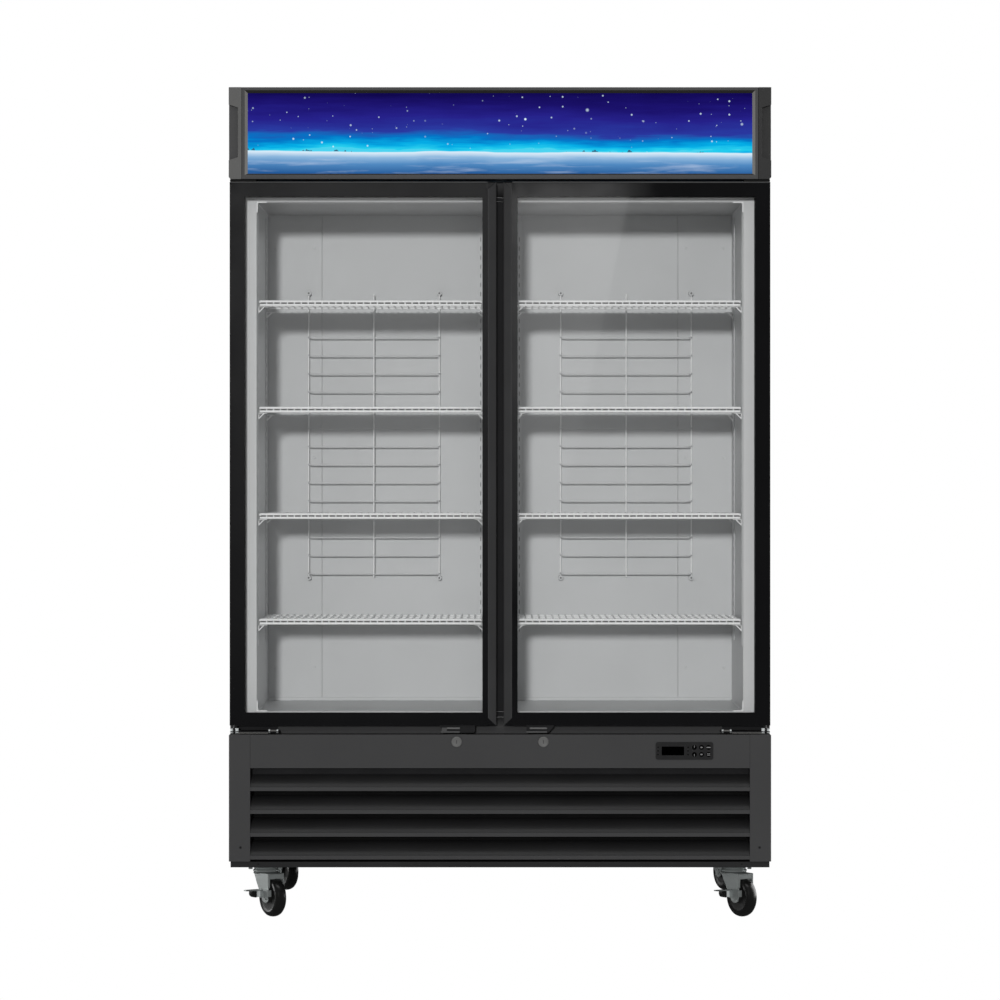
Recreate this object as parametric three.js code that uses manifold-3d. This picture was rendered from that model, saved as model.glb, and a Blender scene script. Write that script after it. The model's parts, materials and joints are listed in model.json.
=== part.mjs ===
// Two-door glass merchandiser: an upright display refrigerator on casters.
// Millimetres, +Z up, +X to the right of someone facing the doors, the doors face -Y.
// The origin is on the floor, under the middle of the cabinet's overall box.

import * as THREE from 'three';
import { mergeVertices } from 'three/addons/utils/BufferGeometryUtils.js';
import Module from 'manifold-3d';

const wasm = await Module();
wasm.setup();

// ---------------------------------------------------------------- driving dimensions

const GAP = 0.3; // between parts that rest on each other
const WIDTH = 1350;
const DEPTH = 760;
const HEIGHT = 2070;
const HALF_W = WIDTH / 2;
const FRONT = -DEPTH / 2; // front face of the doors and the header
const BACK = DEPTH / 2;

const CABINET = { front: -322, bottom: 142.5, deck: 450, roof: 1842, skin: 0.6, sheet: 1.2 };
const CAVITY = { halfW: 609, floor: 513, ceiling: 1789, back: 320, liner: 0.8, flange: 27 };
const DUCT = { y: 146, sheet: 1.2, lip: 8 };
const MULLION = { halfW: 42, back: -303 };

const DOOR = {
  near: 9, // from the middle of the cabinet to the door's free edge
  far: 673,
  bottom: 481.4,
  top: 1835,
  back: -332,
  glassNear: 43.8, // edges of the clear window
  glassFar: 636,
  glassBottom: 514,
  glassTop: 1798,
  pane: 5,
  innerPane: 4,
  innerPaneFront: -357,
  spacer: 12,
};
const HANDLE = { width: 21, back: -358 };
const GASKET = { near: 26, far: 652, bottom: 496, top: 1815, width: 15, back: -323.1 };
const PIVOT = { x: 660, y: -355, pin: 5, hole: 5.5, deep: 18 };
const CATCH = { near: [66, 62], far: [134, 149], bottom: 463, front: -372, thick: 3 };

const HEADER = {
  bottom: 1841,
  halfW: 642.7,
  windowHalfW: 628,
  windowBottom: 1854.7,
  windowTop: 2057.5,
  back: -330,
  capNear: 643,
};
const KICK = { front: -377, sheet: 1.5, top: 459, bottom: 142.8, openHalfW: 621.5 };
const LOUVER = { count: 4, bottom: 148, pitch: 56.8, lip: 9.3, rise: 52, run: 36, top: 375.4 };
const LOCK = { x: 108, z: 441, r: 13, front: -379.5, camBack: -363, camLength: 30 };
const PANEL = { x: 459, z: 418.5, halfW: 72, halfH: 22.2, lip: 4, wall: 1.2, front: -378.9, back: -350 };
const KEY = { r: 6.1, footR: 6.6, columns: [483.6, 501.3, 519], rows: [427.3, 409.7], face: -379.7 };
const KEY_NAMES = ['up', 'set', 'power', 'down', 'defrost', 'light'];

const SHELF = {
  levels: [737, 1002, 1269, 1536], // height of each shelf's front band
  near: 46,
  far: 604,
  front: -300,
  back: 55,
  wire: 5,
  band: 15,
  bars: 16,
};
const GUARD = { near: 157, far: 504, bottom: 831, top: 1579, y: 108, wire: 4, rows: 8 };

const BASE = { bottom: 128, halfW: 671, front: -372, back: 376, rail: 110, wall: 3 };
const CASTER = {
  x: 587,
  front: -293,
  back: 327,
  wheelR: 50,
  tread: 32,
  trail: 33,
  plate: [94, 84, 3],
  sides: 24,
};
const CASTER_TURN = { front_left: 33, front_right: 33, back_left: 31, back_right: 24 };

// ---------------------------------------------------------------- shape helpers

function block(x0, x1, y0, y1, z0, z1) {
  const geometry = new THREE.BoxGeometry(Math.abs(x1 - x0), Math.abs(y1 - y0), Math.abs(z1 - z0));
  return geometry.translate((x0 + x1) / 2, (y0 + y1) / 2, (z0 + z1) / 2);
}

// A straight prism from an outline of [u, v] points, with optional holes.
function prism(points, length, holes = []) {
  const shape = new THREE.Shape(points.map(([u, v]) => new THREE.Vector2(u, v)));
  for (const hole of holes) {
    shape.holes.push(new THREE.Path(hole.map(([u, v]) => new THREE.Vector2(u, v))));
  }
  return new THREE.ExtrudeGeometry(shape, { depth: length, bevelEnabled: false, steps: 1 });
}

const X = new THREE.Vector3(1, 0, 0);
const Y = new THREE.Vector3(0, 1, 0);
const Z = new THREE.Vector3(0, 0, 1);

// Outline in (y, z), run along X.
function prismX(points, x0, x1) {
  const turn = new THREE.Matrix4().makeBasis(Y, Z, X);
  return prism(points, x1 - x0).applyMatrix4(turn).translate(x0, 0, 0);
}

// Outline in (x, z), run along Y.
function prismY(points, y0, y1, holes = []) {
  const turn = new THREE.Matrix4().makeBasis(X, Z, Y.clone().negate());
  return prism(points, y1 - y0, holes).applyMatrix4(turn).translate(0, y1, 0);
}

// Outline in (x, y), run along Z.
function prismZ(points, z0, z1, holes = []) {
  return prism(points, z1 - z0, holes).translate(0, 0, z0);
}

// Anticlockwise whichever way round its corners are given.
function rectangle(uA, uB, v0, v1) {
  const [u0, u1] = [Math.min(uA, uB), Math.max(uA, uB)];
  return [[u0, v0], [u1, v0], [u1, v1], [u0, v1]];
}

// A round bar along 'x', 'y' or 'z', from a to b on that axis, centred on (p, q) of the other two.
function bar(axis, r, a, b, p, q, sides = 16) {
  const geometry = new THREE.CylinderGeometry(r, r, b - a, sides);
  if (axis === 'x') return geometry.rotateZ(Math.PI / 2).translate((a + b) / 2, p, q);
  if (axis === 'y') return geometry.translate(p, (a + b) / 2, q);
  return geometry.rotateX(Math.PI / 2).translate(p, q, (a + b) / 2);
}

function toManifold(geometry) {
  const bare = geometry.clone();
  bare.deleteAttribute('normal');
  bare.deleteAttribute('uv');
  const merged = mergeVertices(bare, 1e-4);
  return new wasm.Manifold(new wasm.Mesh({
    numProp: 3,
    vertProperties: merged.attributes.position.array,
    triVerts: new Uint32Array(merged.index.array),
  }));
}

function toGeometry(manifold) {
  const { vertProperties, triVerts } = manifold.getMesh();
  const geometry = new THREE.BufferGeometry();
  geometry.setAttribute('position', new THREE.BufferAttribute(vertProperties, 3));
  geometry.setIndex(new THREE.BufferAttribute(triVerts, 1));
  geometry.computeVertexNormals();
  return geometry;
}

function join(...pieces) {
  return toGeometry(pieces.map(toManifold).reduce((sum, piece) => sum.add(piece)));
}

function cut(base, ...tools) {
  return toGeometry(tools.map(toManifold).reduce((rest, tool) => rest.subtract(tool), toManifold(base)));
}

// ---------------------------------------------------------------- finishes

function finish(color, roughness, metalness = 0, more = {}) {
  return new THREE.MeshStandardMaterial({ color, roughness, metalness, ...more });
}

const FINISH = {
  darkCoat: finish('#3b3b3d', 0.45),
  whiteLiner: finish('#d9dadb', 0.5),
  blackPlastic: finish('#161617', 0.35),
  greyFrame: finish('#55575a', 0.4, 0.6),
  graphic: finish('#3d5fa8', 0.3),
  glass: finish('#c9d6d8', 0.05, 0, { transparent: true, opacity: 0.3 }),
  gasket: finish('#1b1b1c', 0.8),
  zinc: finish('#b9bcc0', 0.35, 0.9),
  whiteWire: finish('#eceded', 0.4),
  keypad: finish('#2a2b2d', 0.5),
  key: finish('#9fa3a6', 0.5),
  copperAlu: finish('#a8a9aa', 0.4, 0.8),
  compressorBlack: finish('#1c1d1f', 0.5),
  fan: finish('#2b2c2e', 0.5),
  wheel: finish('#202021', 0.6),
};

const merchandiser = new THREE.Group();

function add(name, geometry, material, parent = merchandiser) {
  const mesh = new THREE.Mesh(geometry, material);
  mesh.name = name;
  parent.add(mesh);
  return mesh;
}

// ---------------------------------------------------------------- cabinet

// Steel casing with a foamed double wall. The wall's foam space is left hollow and opens
// through a fill hole in the deck. Above the insulated box is the roof space behind the
// header, below it the machine compartment, open at the front and the back.
function cabinetBody() {
  const { front, bottom, deck, roof, skin, sheet } = CABINET;
  const hole = CAVITY.liner + GAP;
  const innerW = CAVITY.halfW + hole;
  const shell = block(-HALF_W, HALF_W, front, BACK, bottom, HEIGHT);
  const cavity = block(-innerW, innerW, front - 1, CAVITY.back + hole, CAVITY.floor - hole, CAVITY.ceiling + hole);
  const machineSpace = block(-HALF_W + sheet, HALF_W - sheet, front - 1, BACK + 1, bottom - 1, deck);
  const roofSpace = block(
    -HALF_W + sheet, HALF_W - sheet, front - 1, BACK - sheet, roof + sheet, HEIGHT - sheet,
  );
  const foamSpace = cut(
    block(-HALF_W + skin, HALF_W - skin, front + skin, BACK - skin, deck + skin, roof),
    block(
      -innerW - skin, innerW + skin, front, CAVITY.back + hole + skin,
      CAVITY.floor - hole - skin, CAVITY.ceiling + hole + skin,
    ),
  );
  const fillHole = bar('z', 15, deck - 1, deck + 5, 300, 350);
  return cut(shell, cavity, machineSpace, roofSpace, foamSpace, fillHole);
}

// Thin painted skin inside the cavity, with a flange on the cabinet's front face.
function innerLiner() {
  const { halfW, floor, ceiling, back, liner, flange } = CAVITY;
  const { front } = CABINET;
  const tray = block(-halfW - liner, halfW + liner, front - liner, back + liner, floor - liner, ceiling + liner);
  const rim = block(-halfW - flange, halfW + flange, front - liner, front - GAP, floor - 14, ceiling + 10);
  return cut(join(tray, rim), block(-halfW, halfW, front - 2, back, floor, ceiling));
}

// False rear wall in front of the evaporator, with air slots and a floor lip.
function rearDuctPanel() {
  const { halfW, floor, ceiling } = CAVITY;
  const panel = join(
    block(-halfW + GAP, halfW - GAP, DUCT.y, DUCT.y + DUCT.sheet, floor + GAP, ceiling - GAP),
    block(-halfW + GAP, halfW - GAP, DUCT.y - 6, DUCT.y + DUCT.sheet, floor + GAP, floor + DUCT.lip),
  );
  const slots = [];
  for (let i = 0; i < 6; i += 1) {
    const x = -400 + i * 160;
    slots.push(block(x - 60, x + 60, DUCT.y - 2, DUCT.y + 4, ceiling - 30, ceiling - 18));
  }
  return cut(panel, ...slots);
}

function centreMullion() {
  const { halfW, back } = MULLION;
  const front = CABINET.front - CAVITY.liner;
  const outline = [
    [-halfW, front], [halfW, front], [halfW, back - 6], [halfW - 6, back],
    [-halfW + 6, back], [-halfW, back - 6],
  ];
  return prismZ(outline, CAVITY.floor + GAP, CAVITY.ceiling - GAP);
}

add('cabinet_body', cabinetBody(), FINISH.darkCoat);
add('inner_liner', innerLiner(), FINISH.whiteLiner);
add('rear_duct_panel', rearDuctPanel(), FINISH.whiteLiner);
add('centre_mullion', centreMullion(), FINISH.blackPlastic);

// ---------------------------------------------------------------- header

// Frame of the sign box: a lip in front and a deeper groove that takes the sign panel.
function headerBezel() {
  const { bottom, halfW, windowHalfW, windowBottom, windowTop, back } = HEADER;
  const groove = 6;
  const outer = rectangle(-halfW, halfW, bottom, HEIGHT);
  const lip = prismY(
    outer, FRONT, FRONT + 4, [rectangle(-windowHalfW, windowHalfW, windowBottom, windowTop)],
  );
  const frame = prismY(outer, FRONT + 4, back, [
    rectangle(
      -windowHalfW - groove, windowHalfW + groove, windowBottom - groove, windowTop + groove,
    ),
  ]);
  return join(lip, frame);
}

function headerGraphic() {
  const { windowHalfW, windowBottom, windowTop } = HEADER;
  const grow = 5.6;
  return block(
    -windowHalfW - grow, windowHalfW + grow, FRONT + 4 + GAP, FRONT + 7.5,
    windowBottom - grow, windowTop + grow,
  );
}

// End cap with a tapered grip recess on its outer edge.
function headerEndCap(side) {
  const { bottom, capNear } = HEADER;
  const chamfer = 5;
  const outline = [
    [side * capNear, bottom], [side * (HALF_W - chamfer), bottom], [side * HALF_W, bottom + chamfer],
    [side * HALF_W, HEIGHT], [side * capNear, HEIGHT],
  ];
  const recess = [
    [side * (HALF_W + 1), 1888], [side * 652, 1896], [side * 652, 2019], [side * (HALF_W + 1), 2027],
  ];
  return cut(
    prismY(outline, FRONT, CABINET.front - GAP),
    prismY(recess, FRONT - 1, FRONT + 12),
  );
}

add('header_bezel', headerBezel(), FINISH.greyFrame);
add('header_graphic', headerGraphic(), FINISH.graphic);
for (const [name, side] of [['left', -1], ['right', 1]]) {
  add(`header_end_cap_${name}`, headerEndCap(side), FINISH.greyFrame);
}

// ---------------------------------------------------------------- doors

// A block between two distances from the cabinet's middle, on one side of it.
function sideBlock(side, near, far, y0, y1, z0, z1) {
  return block(side * near, side * far, y0, y1, z0, z1);
}

function sideRectangle(side, near, far, z0, z1) {
  return rectangle(side * near, side * far, z0, z1);
}

// Moulded ring behind the glass, with pivot holes at its outer corners, a rebate for the grip
// profile and the lock's catch under its bottom edge.
function doorFrame(side) {
  const D = DOOR;
  const ring = prismY(
    sideRectangle(side, D.near, D.far, D.bottom, D.top),
    FRONT + D.pane + GAP, D.back,
    [sideRectangle(side, D.glassNear, D.glassFar, D.glassBottom, D.glassTop)],
  );
  const [near, far] = side < 0 ? [CATCH.near[1], CATCH.far[1]] : [CATCH.near[0], CATCH.far[0]];
  const plate = prismY(
    [
      [side * near, D.bottom + 2], [side * near, CATCH.bottom + 3.5], [side * (near + 4), CATCH.bottom],
      [side * (far - 14), CATCH.bottom], [side * far, D.bottom - 4], [side * far, D.bottom + 2],
    ],
    CATCH.front, CATCH.front + CATCH.thick,
  );
  const { x, y, hole, deep } = PIVOT;
  return cut(
    join(ring, plate),
    sideBlock(side, D.near - 1, D.near + HANDLE.width + GAP, FRONT, HANDLE.back + GAP, D.bottom - 1, D.top + 1),
    bar('z', hole, D.bottom - 1, D.bottom + deep, side * x, y),
    bar('z', hole, D.top - deep, D.top + 1, side * x, y),
  );
}

// Insulated glass: the full front pane and a smaller inner pane on a spacer, with a vent hole.
function doorGlass(side) {
  const D = DOOR;
  const near = D.near + HANDLE.width + 2 * GAP;
  const middle = (D.glassNear + D.glassFar) / 2;
  const edge = 1.2; // clearance of the inner pane in the frame
  const inner = [D.glassNear + edge, D.glassFar - edge, D.glassBottom + edge, D.glassTop - edge];
  const spacer = prismY(
    sideRectangle(side, ...inner), FRONT + D.pane - 1, D.innerPaneFront + 1,
    [
      sideRectangle(
        side, inner[0] + D.spacer, inner[1] - D.spacer, inner[2] + D.spacer, inner[3] - D.spacer,
      ),
    ],
  );
  return cut(
    join(
      sideBlock(side, near, D.far - GAP, FRONT, FRONT + D.pane, D.bottom + GAP, D.top - GAP),
      spacer,
      sideBlock(side, inner[0], inner[1], D.innerPaneFront, D.innerPaneFront + D.innerPane, inner[2], inner[3]),
    ),
    bar('z', 3, inner[3] - D.spacer - 1, inner[3] + 1, side * middle, -366, 8),
  );
}

function doorGasket(side) {
  const { near, far, bottom, top, width, back } = GASKET;
  return prismY(
    sideRectangle(side, near, far, bottom, top), DOOR.back + GAP, back,
    [sideRectangle(side, near + width, far - width, bottom + width, top - width)],
  );
}

// Full-height grip profile: a bevelled nose with a finger groove behind it.
function doorHandle(side) {
  const { near, bottom, top } = DOOR;
  const far = near + HANDLE.width;
  const outline = [
    [far, FRONT], [far, HANDLE.back], [near, HANDLE.back], [near, HANDLE.back - 2.5],
    [near + 12, HANDLE.back - 3.5], [near + 12, HANDLE.back - 10], [near, HANDLE.back - 8],
    [near, FRONT + 10.5], [near + 3, FRONT + 7.5], [near + 18, FRONT],
  ];
  return prismZ(outline.map(([x, y]) => [side * x, y]), bottom, top);
}

function topHinge(side) {
  const { x, y, pin, deep } = PIVOT;
  const low = DOOR.top + 1.2;
  const high = HEADER.bottom - 0.5;
  const rear = CABINET.front - GAP;
  return join(
    sideBlock(side, 607, 672, FRONT + 3, rear, low, high),
    sideBlock(side, 608, 641, rear - 3, rear, high - 1, high + 36),
    bar('z', pin, DOOR.top - deep + 2, low + 1, side * x, y),
  );
}

function bottomHinge(side) {
  const { x, y, pin, deep } = PIVOT;
  const low = 464.5;
  const high = 467;
  const rear = CABINET.front - GAP;
  return join(
    sideBlock(side, 550, 672, FRONT + 6, rear, low, high),
    sideBlock(side, 556, 666, rear - 3, rear, high - 1, DOOR.bottom - 1.5),
    bar('z', 8.5, 462.5, 474, side * x, y),
    bar('z', pin, 473, DOOR.bottom + deep - 2, side * x, y),
  );
}

for (const [name, side] of [['left', -1], ['right', 1]]) {
  add(`top_hinge_${name}`, topHinge(side), FINISH.blackPlastic);
  add(`bottom_hinge_${name}`, bottomHinge(side), FINISH.zinc);
  add(`door_${name}_frame`, doorFrame(side), FINISH.blackPlastic);
  add(`door_${name}_glass`, doorGlass(side), FINISH.glass);
  add(`door_${name}_gasket`, doorGasket(side), FINISH.gasket);
  add(`door_${name}_handle`, doorHandle(side), FINISH.blackPlastic);
}

// ---------------------------------------------------------------- kick panel, locks, controls

// Folded kick panel with a louvred air opening, key-lock holes and the controller's cut-out.
function frontGrille() {
  const { front, sheet, top, bottom, openHalfW } = KICK;
  const rear = front + sheet;
  const flangeBack = CABINET.front - GAP;
  const face = block(-HALF_W, HALF_W, front, rear, bottom, top);
  const inside = front + sheet / 2; // where the folds and blades meet the face plate
  const step = 0.4; // keeps the folds' faces off the face plate's edges
  const topFlange = block(-HALF_W + step, HALF_W - step, inside, flangeBack, top - sheet, top - step);
  const sides = [-1, 1].map((side) => (
    sideBlock(side, HALF_W - sheet - step, HALF_W - step, inside, flangeBack, bottom + step, top - sheet / 2)
  ));
  const cheeks = [-1, 1].map((side) => (
    sideBlock(
      side, openHalfW + step, openHalfW + step + sheet, inside, front + LOUVER.run + 4, bottom + 2, LOUVER.top + 8,
    )
  ));
  const opening = block(-openHalfW, openHalfW, front - 1, rear + 1, bottom + 3, LOUVER.top);
  const lockHoles = [-1, 1].map((side) => bar('y', LOCK.r + 0.6, front - 1, rear + 1, side * LOCK.x, LOCK.z, 24));
  const camSlots = [-1, 1].map((side) => (
    block(side * LOCK.x - 26, side * LOCK.x + 26, LOCK.camBack - 8, LOCK.camBack + 4, top - 3, top + 1)
  ));
  const [cutOutW, cutOutH] = [PANEL.halfW, PANEL.halfH].map((half) => half - PANEL.lip + GAP);
  const cutOut = block(
    PANEL.x - cutOutW, PANEL.x + cutOutW, front - 1, rear + 1, PANEL.z - cutOutH, PANEL.z + cutOutH,
  );
  const plate = cut(face, opening, ...lockHoles, cutOut);
  const blades = [];
  for (let i = 0; i < LOUVER.count; i += 1) {
    const z0 = LOUVER.bottom + i * LOUVER.pitch;
    const z1 = z0 + LOUVER.lip;
    const outline = [
      [front + 0.1, z0], [front + sheet, z0], [front + sheet, z1 - 1],
      [front + LOUVER.run, z1 + LOUVER.rise - 2], [front + LOUVER.run, z1 + LOUVER.rise], [front + 0.1, z1],
    ];
    blades.push(prismX(outline, -openHalfW - step - sheet / 2, openHalfW + step + sheet / 2));
  }
  return join(plate, cut(topFlange, ...camSlots), ...sides, ...cheeks, ...blades);
}

// Cylinder lock with its cam lying sideways; a quarter turn raises the cam behind the catch.
function lock(side) {
  const { x, z, r, front, camBack, camLength } = LOCK;
  const centre = side * x;
  return join(
    bar('y', r, front, KICK.front - GAP - 1, centre, z, 24),
    bar('y', r - 1, KICK.front - GAP - 1.2, camBack - 2.5, centre, z, 24),
    block(centre - side * 9, centre + side * camLength, camBack - 3, camBack, z - 9, z + 9),
  );
}

// Bezel plate over the cut-out, with a box behind it that is open at the back.
function controllerHousing() {
  const { x, z, halfW, halfH, lip, wall, front, back } = PANEL;
  const seat = KICK.front - GAP;
  const [boxW, boxH] = [halfW - lip, halfH - lip];
  const plate = block(x - halfW, x + halfW, front, seat, z - halfH, z + halfH);
  const box = block(x - boxW, x + boxW, seat - 0.2, back, z - boxH, z + boxH);
  const hollow = block(
    x - boxW + wall, x + boxW - wall, seat, back + 1, z - boxH + wall, z + boxH - wall,
  );
  const holes = KEY.columns.flatMap((kx) => (
    KEY.rows.map((kz) => bar('y', KEY.r + 0.4, front - 1, KICK.front + 2, kx, kz, 20))
  ));
  return cut(join(plate, box), hollow, ...holes);
}

// Round key with a foot a little wider than its hole.
function key(x, z) {
  return join(
    bar('y', KEY.r, KEY.face, KICK.front + 1.5, x, z, 20),
    bar('y', KEY.footR, KICK.front + 0.3, KICK.front + 1.6, x, z, 20),
  );
}

add('front_grille', frontGrille(), FINISH.darkCoat);
add('lock_left', lock(-1), FINISH.zinc);
add('lock_right', lock(1), FINISH.zinc);
add('controller_housing', controllerHousing(), FINISH.keypad);
KEY_NAMES.forEach((name, i) => {
  const x = KEY.columns[i % KEY.columns.length];
  const z = KEY.rows[Math.floor(i / KEY.columns.length)];
  add(`key_${name}`, key(x, z), FINISH.key);
});

// ---------------------------------------------------------------- shelves and rear guards

// Wire shelf: a slotted deck with an upright front band.
function shelf(side, level) {
  const { near, far, front, back, wire, band, bars } = SHELF;
  const x0 = Math.min(side * near, side * far);
  const pitch = (far - near - wire) / bars;
  const top = level + band / 2 - wire;
  const slots = [];
  for (let i = 0; i < bars; i += 1) {
    const left = x0 + wire + i * pitch;
    slots.push(block(left, left + pitch - wire, front + 2 * wire, back - wire, top - 1, top + wire + 1));
  }
  return join(
    cut(block(x0, x0 + far - near, front, back, top, top + wire), ...slots),
    block(x0, x0 + far - near, front, front + wire, level - band / 2, top + 1),
  );
}

// Wire guard that keeps goods off the duct panel.
function rearGuard(side) {
  const { near, far, bottom, top, y, wire, rows } = GUARD;
  const x0 = Math.min(side * near, side * far);
  const x1 = x0 + far - near;
  const pitch = (top - bottom - wire) / (rows - 1);
  const middle = (x0 + x1) / 2;
  const windows = [];
  for (let i = 0; i < rows - 1; i += 1) {
    for (const [a, b] of [[x0 + wire, middle - wire / 2], [middle + wire / 2, x1 - wire]]) {
      const low = bottom + i * pitch;
      windows.push(block(a, b, y - 1, y + wire + 1, low + wire, low + pitch));
    }
  }
  return cut(block(x0, x1, y, y + wire, bottom, top), ...windows);
}

for (const [name, side] of [['left', -1], ['right', 1]]) {
  SHELF.levels.forEach((level, i) => {
    add(`shelf_${name}_${i + 1}`, shelf(side, level), FINISH.whiteWire);
  });
  add(`rear_guard_${name}`, rearGuard(side), FINISH.whiteWire);
}

// ---------------------------------------------------------------- refrigeration

// Block with upright air slots, open at the top.
function finned(x0, x1, y0, y1, z0, z1) {
  const fin = 10;
  const slots = [];
  for (let x = x0 + fin; x < x1 - fin; x += 2 * fin) {
    slots.push(block(x, x + fin, y0 - 1, y1 + 1, z0 + fin, z1 + 1));
  }
  return cut(block(x0, x1, y0, y1, z0, z1), ...slots);
}

// Finned coil with a round-holed fan shroud behind it.
function condenserCoil() {
  const [x0, x1, y0, y1, z0, z1] = [-430, -90, -300, -240, 160, 430];
  const shroudBack = y1 + 34;
  const shroud = cut(
    block(x0, x1, y1 - 1, shroudBack, z0 + 2, z1 - 2),
    block(x0 + 3, x1 - 3, y1 - 2, shroudBack - 3, z0 + 5, z1 - 5),
    bar('y', 112, shroudBack - 8, shroudBack + 1, CONDENSER_FAN.x, CONDENSER_FAN.z, 32),
  );
  const foot = block(x0 + 1, x1 - 1, y0 + 1, shroudBack - 1, BASE_TOP + GAP, z0 + 4);
  return join(finned(x0, x1, y0, y1, z0, z1), shroud, foot);
}

// Fan with a round hub and pitched blades, turning about the axis 'y' or 'z'.
function fan(r, blades, depth) {
  const hubR = r * 0.28;
  const parts = [bar('z', hubR, -depth / 2, depth / 2, 0, 0, 16)];
  for (let i = 0; i < blades; i += 1) {
    const blade = block(hubR - 4, r, -1, 1, -depth / 2, depth / 2);
    blade.scale(1, 14, 0.55);
    blade.rotateX(0.5);
    blade.rotateZ((i * 2 * Math.PI) / blades);
    parts.push(blade);
  }
  return join(...parts);
}

// Welded compressor can on a foot plate.
function compressor() {
  const outline = [[0, 0], [80, 0], [84, 12], [84, 92], [72, 132], [40, 158], [0, 166]];
  const profile = outline.map(([r, z]) => new THREE.Vector2(r, z));
  const can = new THREE.LatheGeometry(profile, 24).rotateX(Math.PI / 2);
  return join(can, block(-100, 100, -60, 60, -8, 4));
}

// Evaporator coil in the rear duct, with its fan's ring plate above it.
function evaporatorCoil() {
  const [x0, x1, y0, y1, z0, z1] = [-310, 310, 190, 270, 1240, 1400];
  const deck = { y0: 168, y1: 300, z: EVAPORATOR_FAN.z + 8, sheet: 3 };
  const cheeks = [x0, x1 - deck.sheet].map((x) => (
    block(x, x + deck.sheet, y0 + 4, y1 - 4, z1 - 9, deck.z + 1)
  ));
  const ring = cut(
    block(x0 - 1, x1 + 1, deck.y0, deck.y1, deck.z, deck.z + deck.sheet),
    bar('z', 62, deck.z - 1, deck.z + deck.sheet + 1, 0, EVAPORATOR_FAN.y, 32),
  );
  return join(finned(x0, x1, y0, y1, z0, z1), ...cheeks, ring);
}

const BASE_TOP = CABINET.bottom - GAP;
const CONDENSER_FAN = { x: -260, y: -190, z: 295, r: 102 };
const EVAPORATOR_FAN = { x: 0, y: 234, z: 1520, r: 56 };

add('condenser_coil', condenserCoil(), FINISH.copperAlu);
const condenserFan = add('condenser_fan', fan(CONDENSER_FAN.r, 5, 30), FINISH.fan);
condenserFan.rotation.x = Math.PI / 2;
condenserFan.position.set(CONDENSER_FAN.x, CONDENSER_FAN.y, CONDENSER_FAN.z);
add('compressor', compressor(), FINISH.compressorBlack).position.set(170, 20, BASE_TOP + 8 + GAP);
add('evaporator_coil', evaporatorCoil(), FINISH.copperAlu);
add('evaporator_fan', fan(EVAPORATOR_FAN.r, 4, 24), FINISH.fan)
  .position.set(EVAPORATOR_FAN.x, EVAPORATOR_FAN.y, EVAPORATOR_FAN.z);

// ---------------------------------------------------------------- base and casters

// Ring of folded channels, hollow from below, with the machine pan across it.
function baseFrame() {
  const { bottom, halfW, front, back, rail, wall } = BASE;
  const inner = [-halfW + rail, halfW - rail, front + rail, back - rail];
  const ring = prismZ(
    rectangle(-halfW, halfW, front, back), bottom, BASE_TOP, [rectangle(...inner)],
  );
  const pad = 76; // solid corner pads over the caster plates
  const hollows = [
    block(-halfW + 150, halfW - 150, front + wall, front + rail - wall, bottom - 1, BASE_TOP - wall),
    block(-halfW + 150, halfW - 150, back - rail + wall, back - wall, bottom - 1, BASE_TOP - wall),
    ...[-1, 1].map((side) => sideBlock(
      side, halfW - rail + wall, halfW - wall, front + rail + pad, back - rail - pad,
      bottom - 1, BASE_TOP - wall,
    )),
  ];
  const pan = block(-halfW + rail - 5, halfW - rail + 5, front + rail - 5, back - rail + 5, BASE_TOP - 1.5, BASE_TOP);
  return join(cut(ring, ...hollows), pan);
}

// The caster pieces are drawn with the stem on their own Z axis and the wheel trailing to -Y.
function casterPlate() {
  const [w, d, t] = CASTER.plate;
  const top = BASE.bottom - GAP;
  return block(-w / 2, w / 2, -d / 2, d / 2, top - t, top);
}

function casterFork() {
  const { trail, wheelR } = CASTER;
  const headTop = BASE.bottom - 2 * GAP - CASTER.plate[2];
  const legOut = 22;
  const legIn = 19.5;
  const leg = [
    [24, 108], [-50, 108], [-trail - 16, wheelR + 14], [-trail - 13, wheelR - 10],
    [-trail - 6, wheelR - 14], [-trail + 6, wheelR - 14], [-trail + 13, wheelR - 10], [10, 84],
  ];
  return join(
    bar('z', 32, 108, headTop, 0, 0, 24),
    block(-legOut, legOut, -50, 24, 104, 109),
    prismX(leg, -legOut, -legIn),
    prismX(leg, legIn, legOut),
    bar('x', 5, -legOut - 2.4, legOut + 2.4, -trail, wheelR),
  );
}

// Wheel with flats on its tread, so that a flat rests on the floor.
function casterWheel() {
  const { wheelR, tread, sides } = CASTER;
  const half = tread / 2;
  const rim = wheelR / Math.cos(Math.PI / sides);
  const outline = [
    [5.4, -half - 2.5], [14, -half - 2.5], [16, -half], [rim - 4, -half], [rim, -half + 4],
    [rim, half - 4], [rim - 4, half], [16, half], [14, half + 2.5], [5.4, half + 2.5], [5.4, -half - 2.5],
  ];
  const wheel = new THREE.LatheGeometry(outline.map(([r, x]) => new THREE.Vector2(r, x)), sides);
  return toGeometry(toManifold(wheel.rotateY(Math.PI / sides).rotateZ(-Math.PI / 2)));
}

// Side brake: an angle on the fork's left leg with a foot pedal on its rear flange.
function casterBrake() {
  return join(
    block(-28.5, -26, -58, -16, 47, 69),
    block(-46, -27, -20, -17.5, 49, 68),
    block(-74, -26, -34, -12, 66.5, 69),
    block(-74, -71.5, -34, -12, 63, 69),
  );
}

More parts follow.
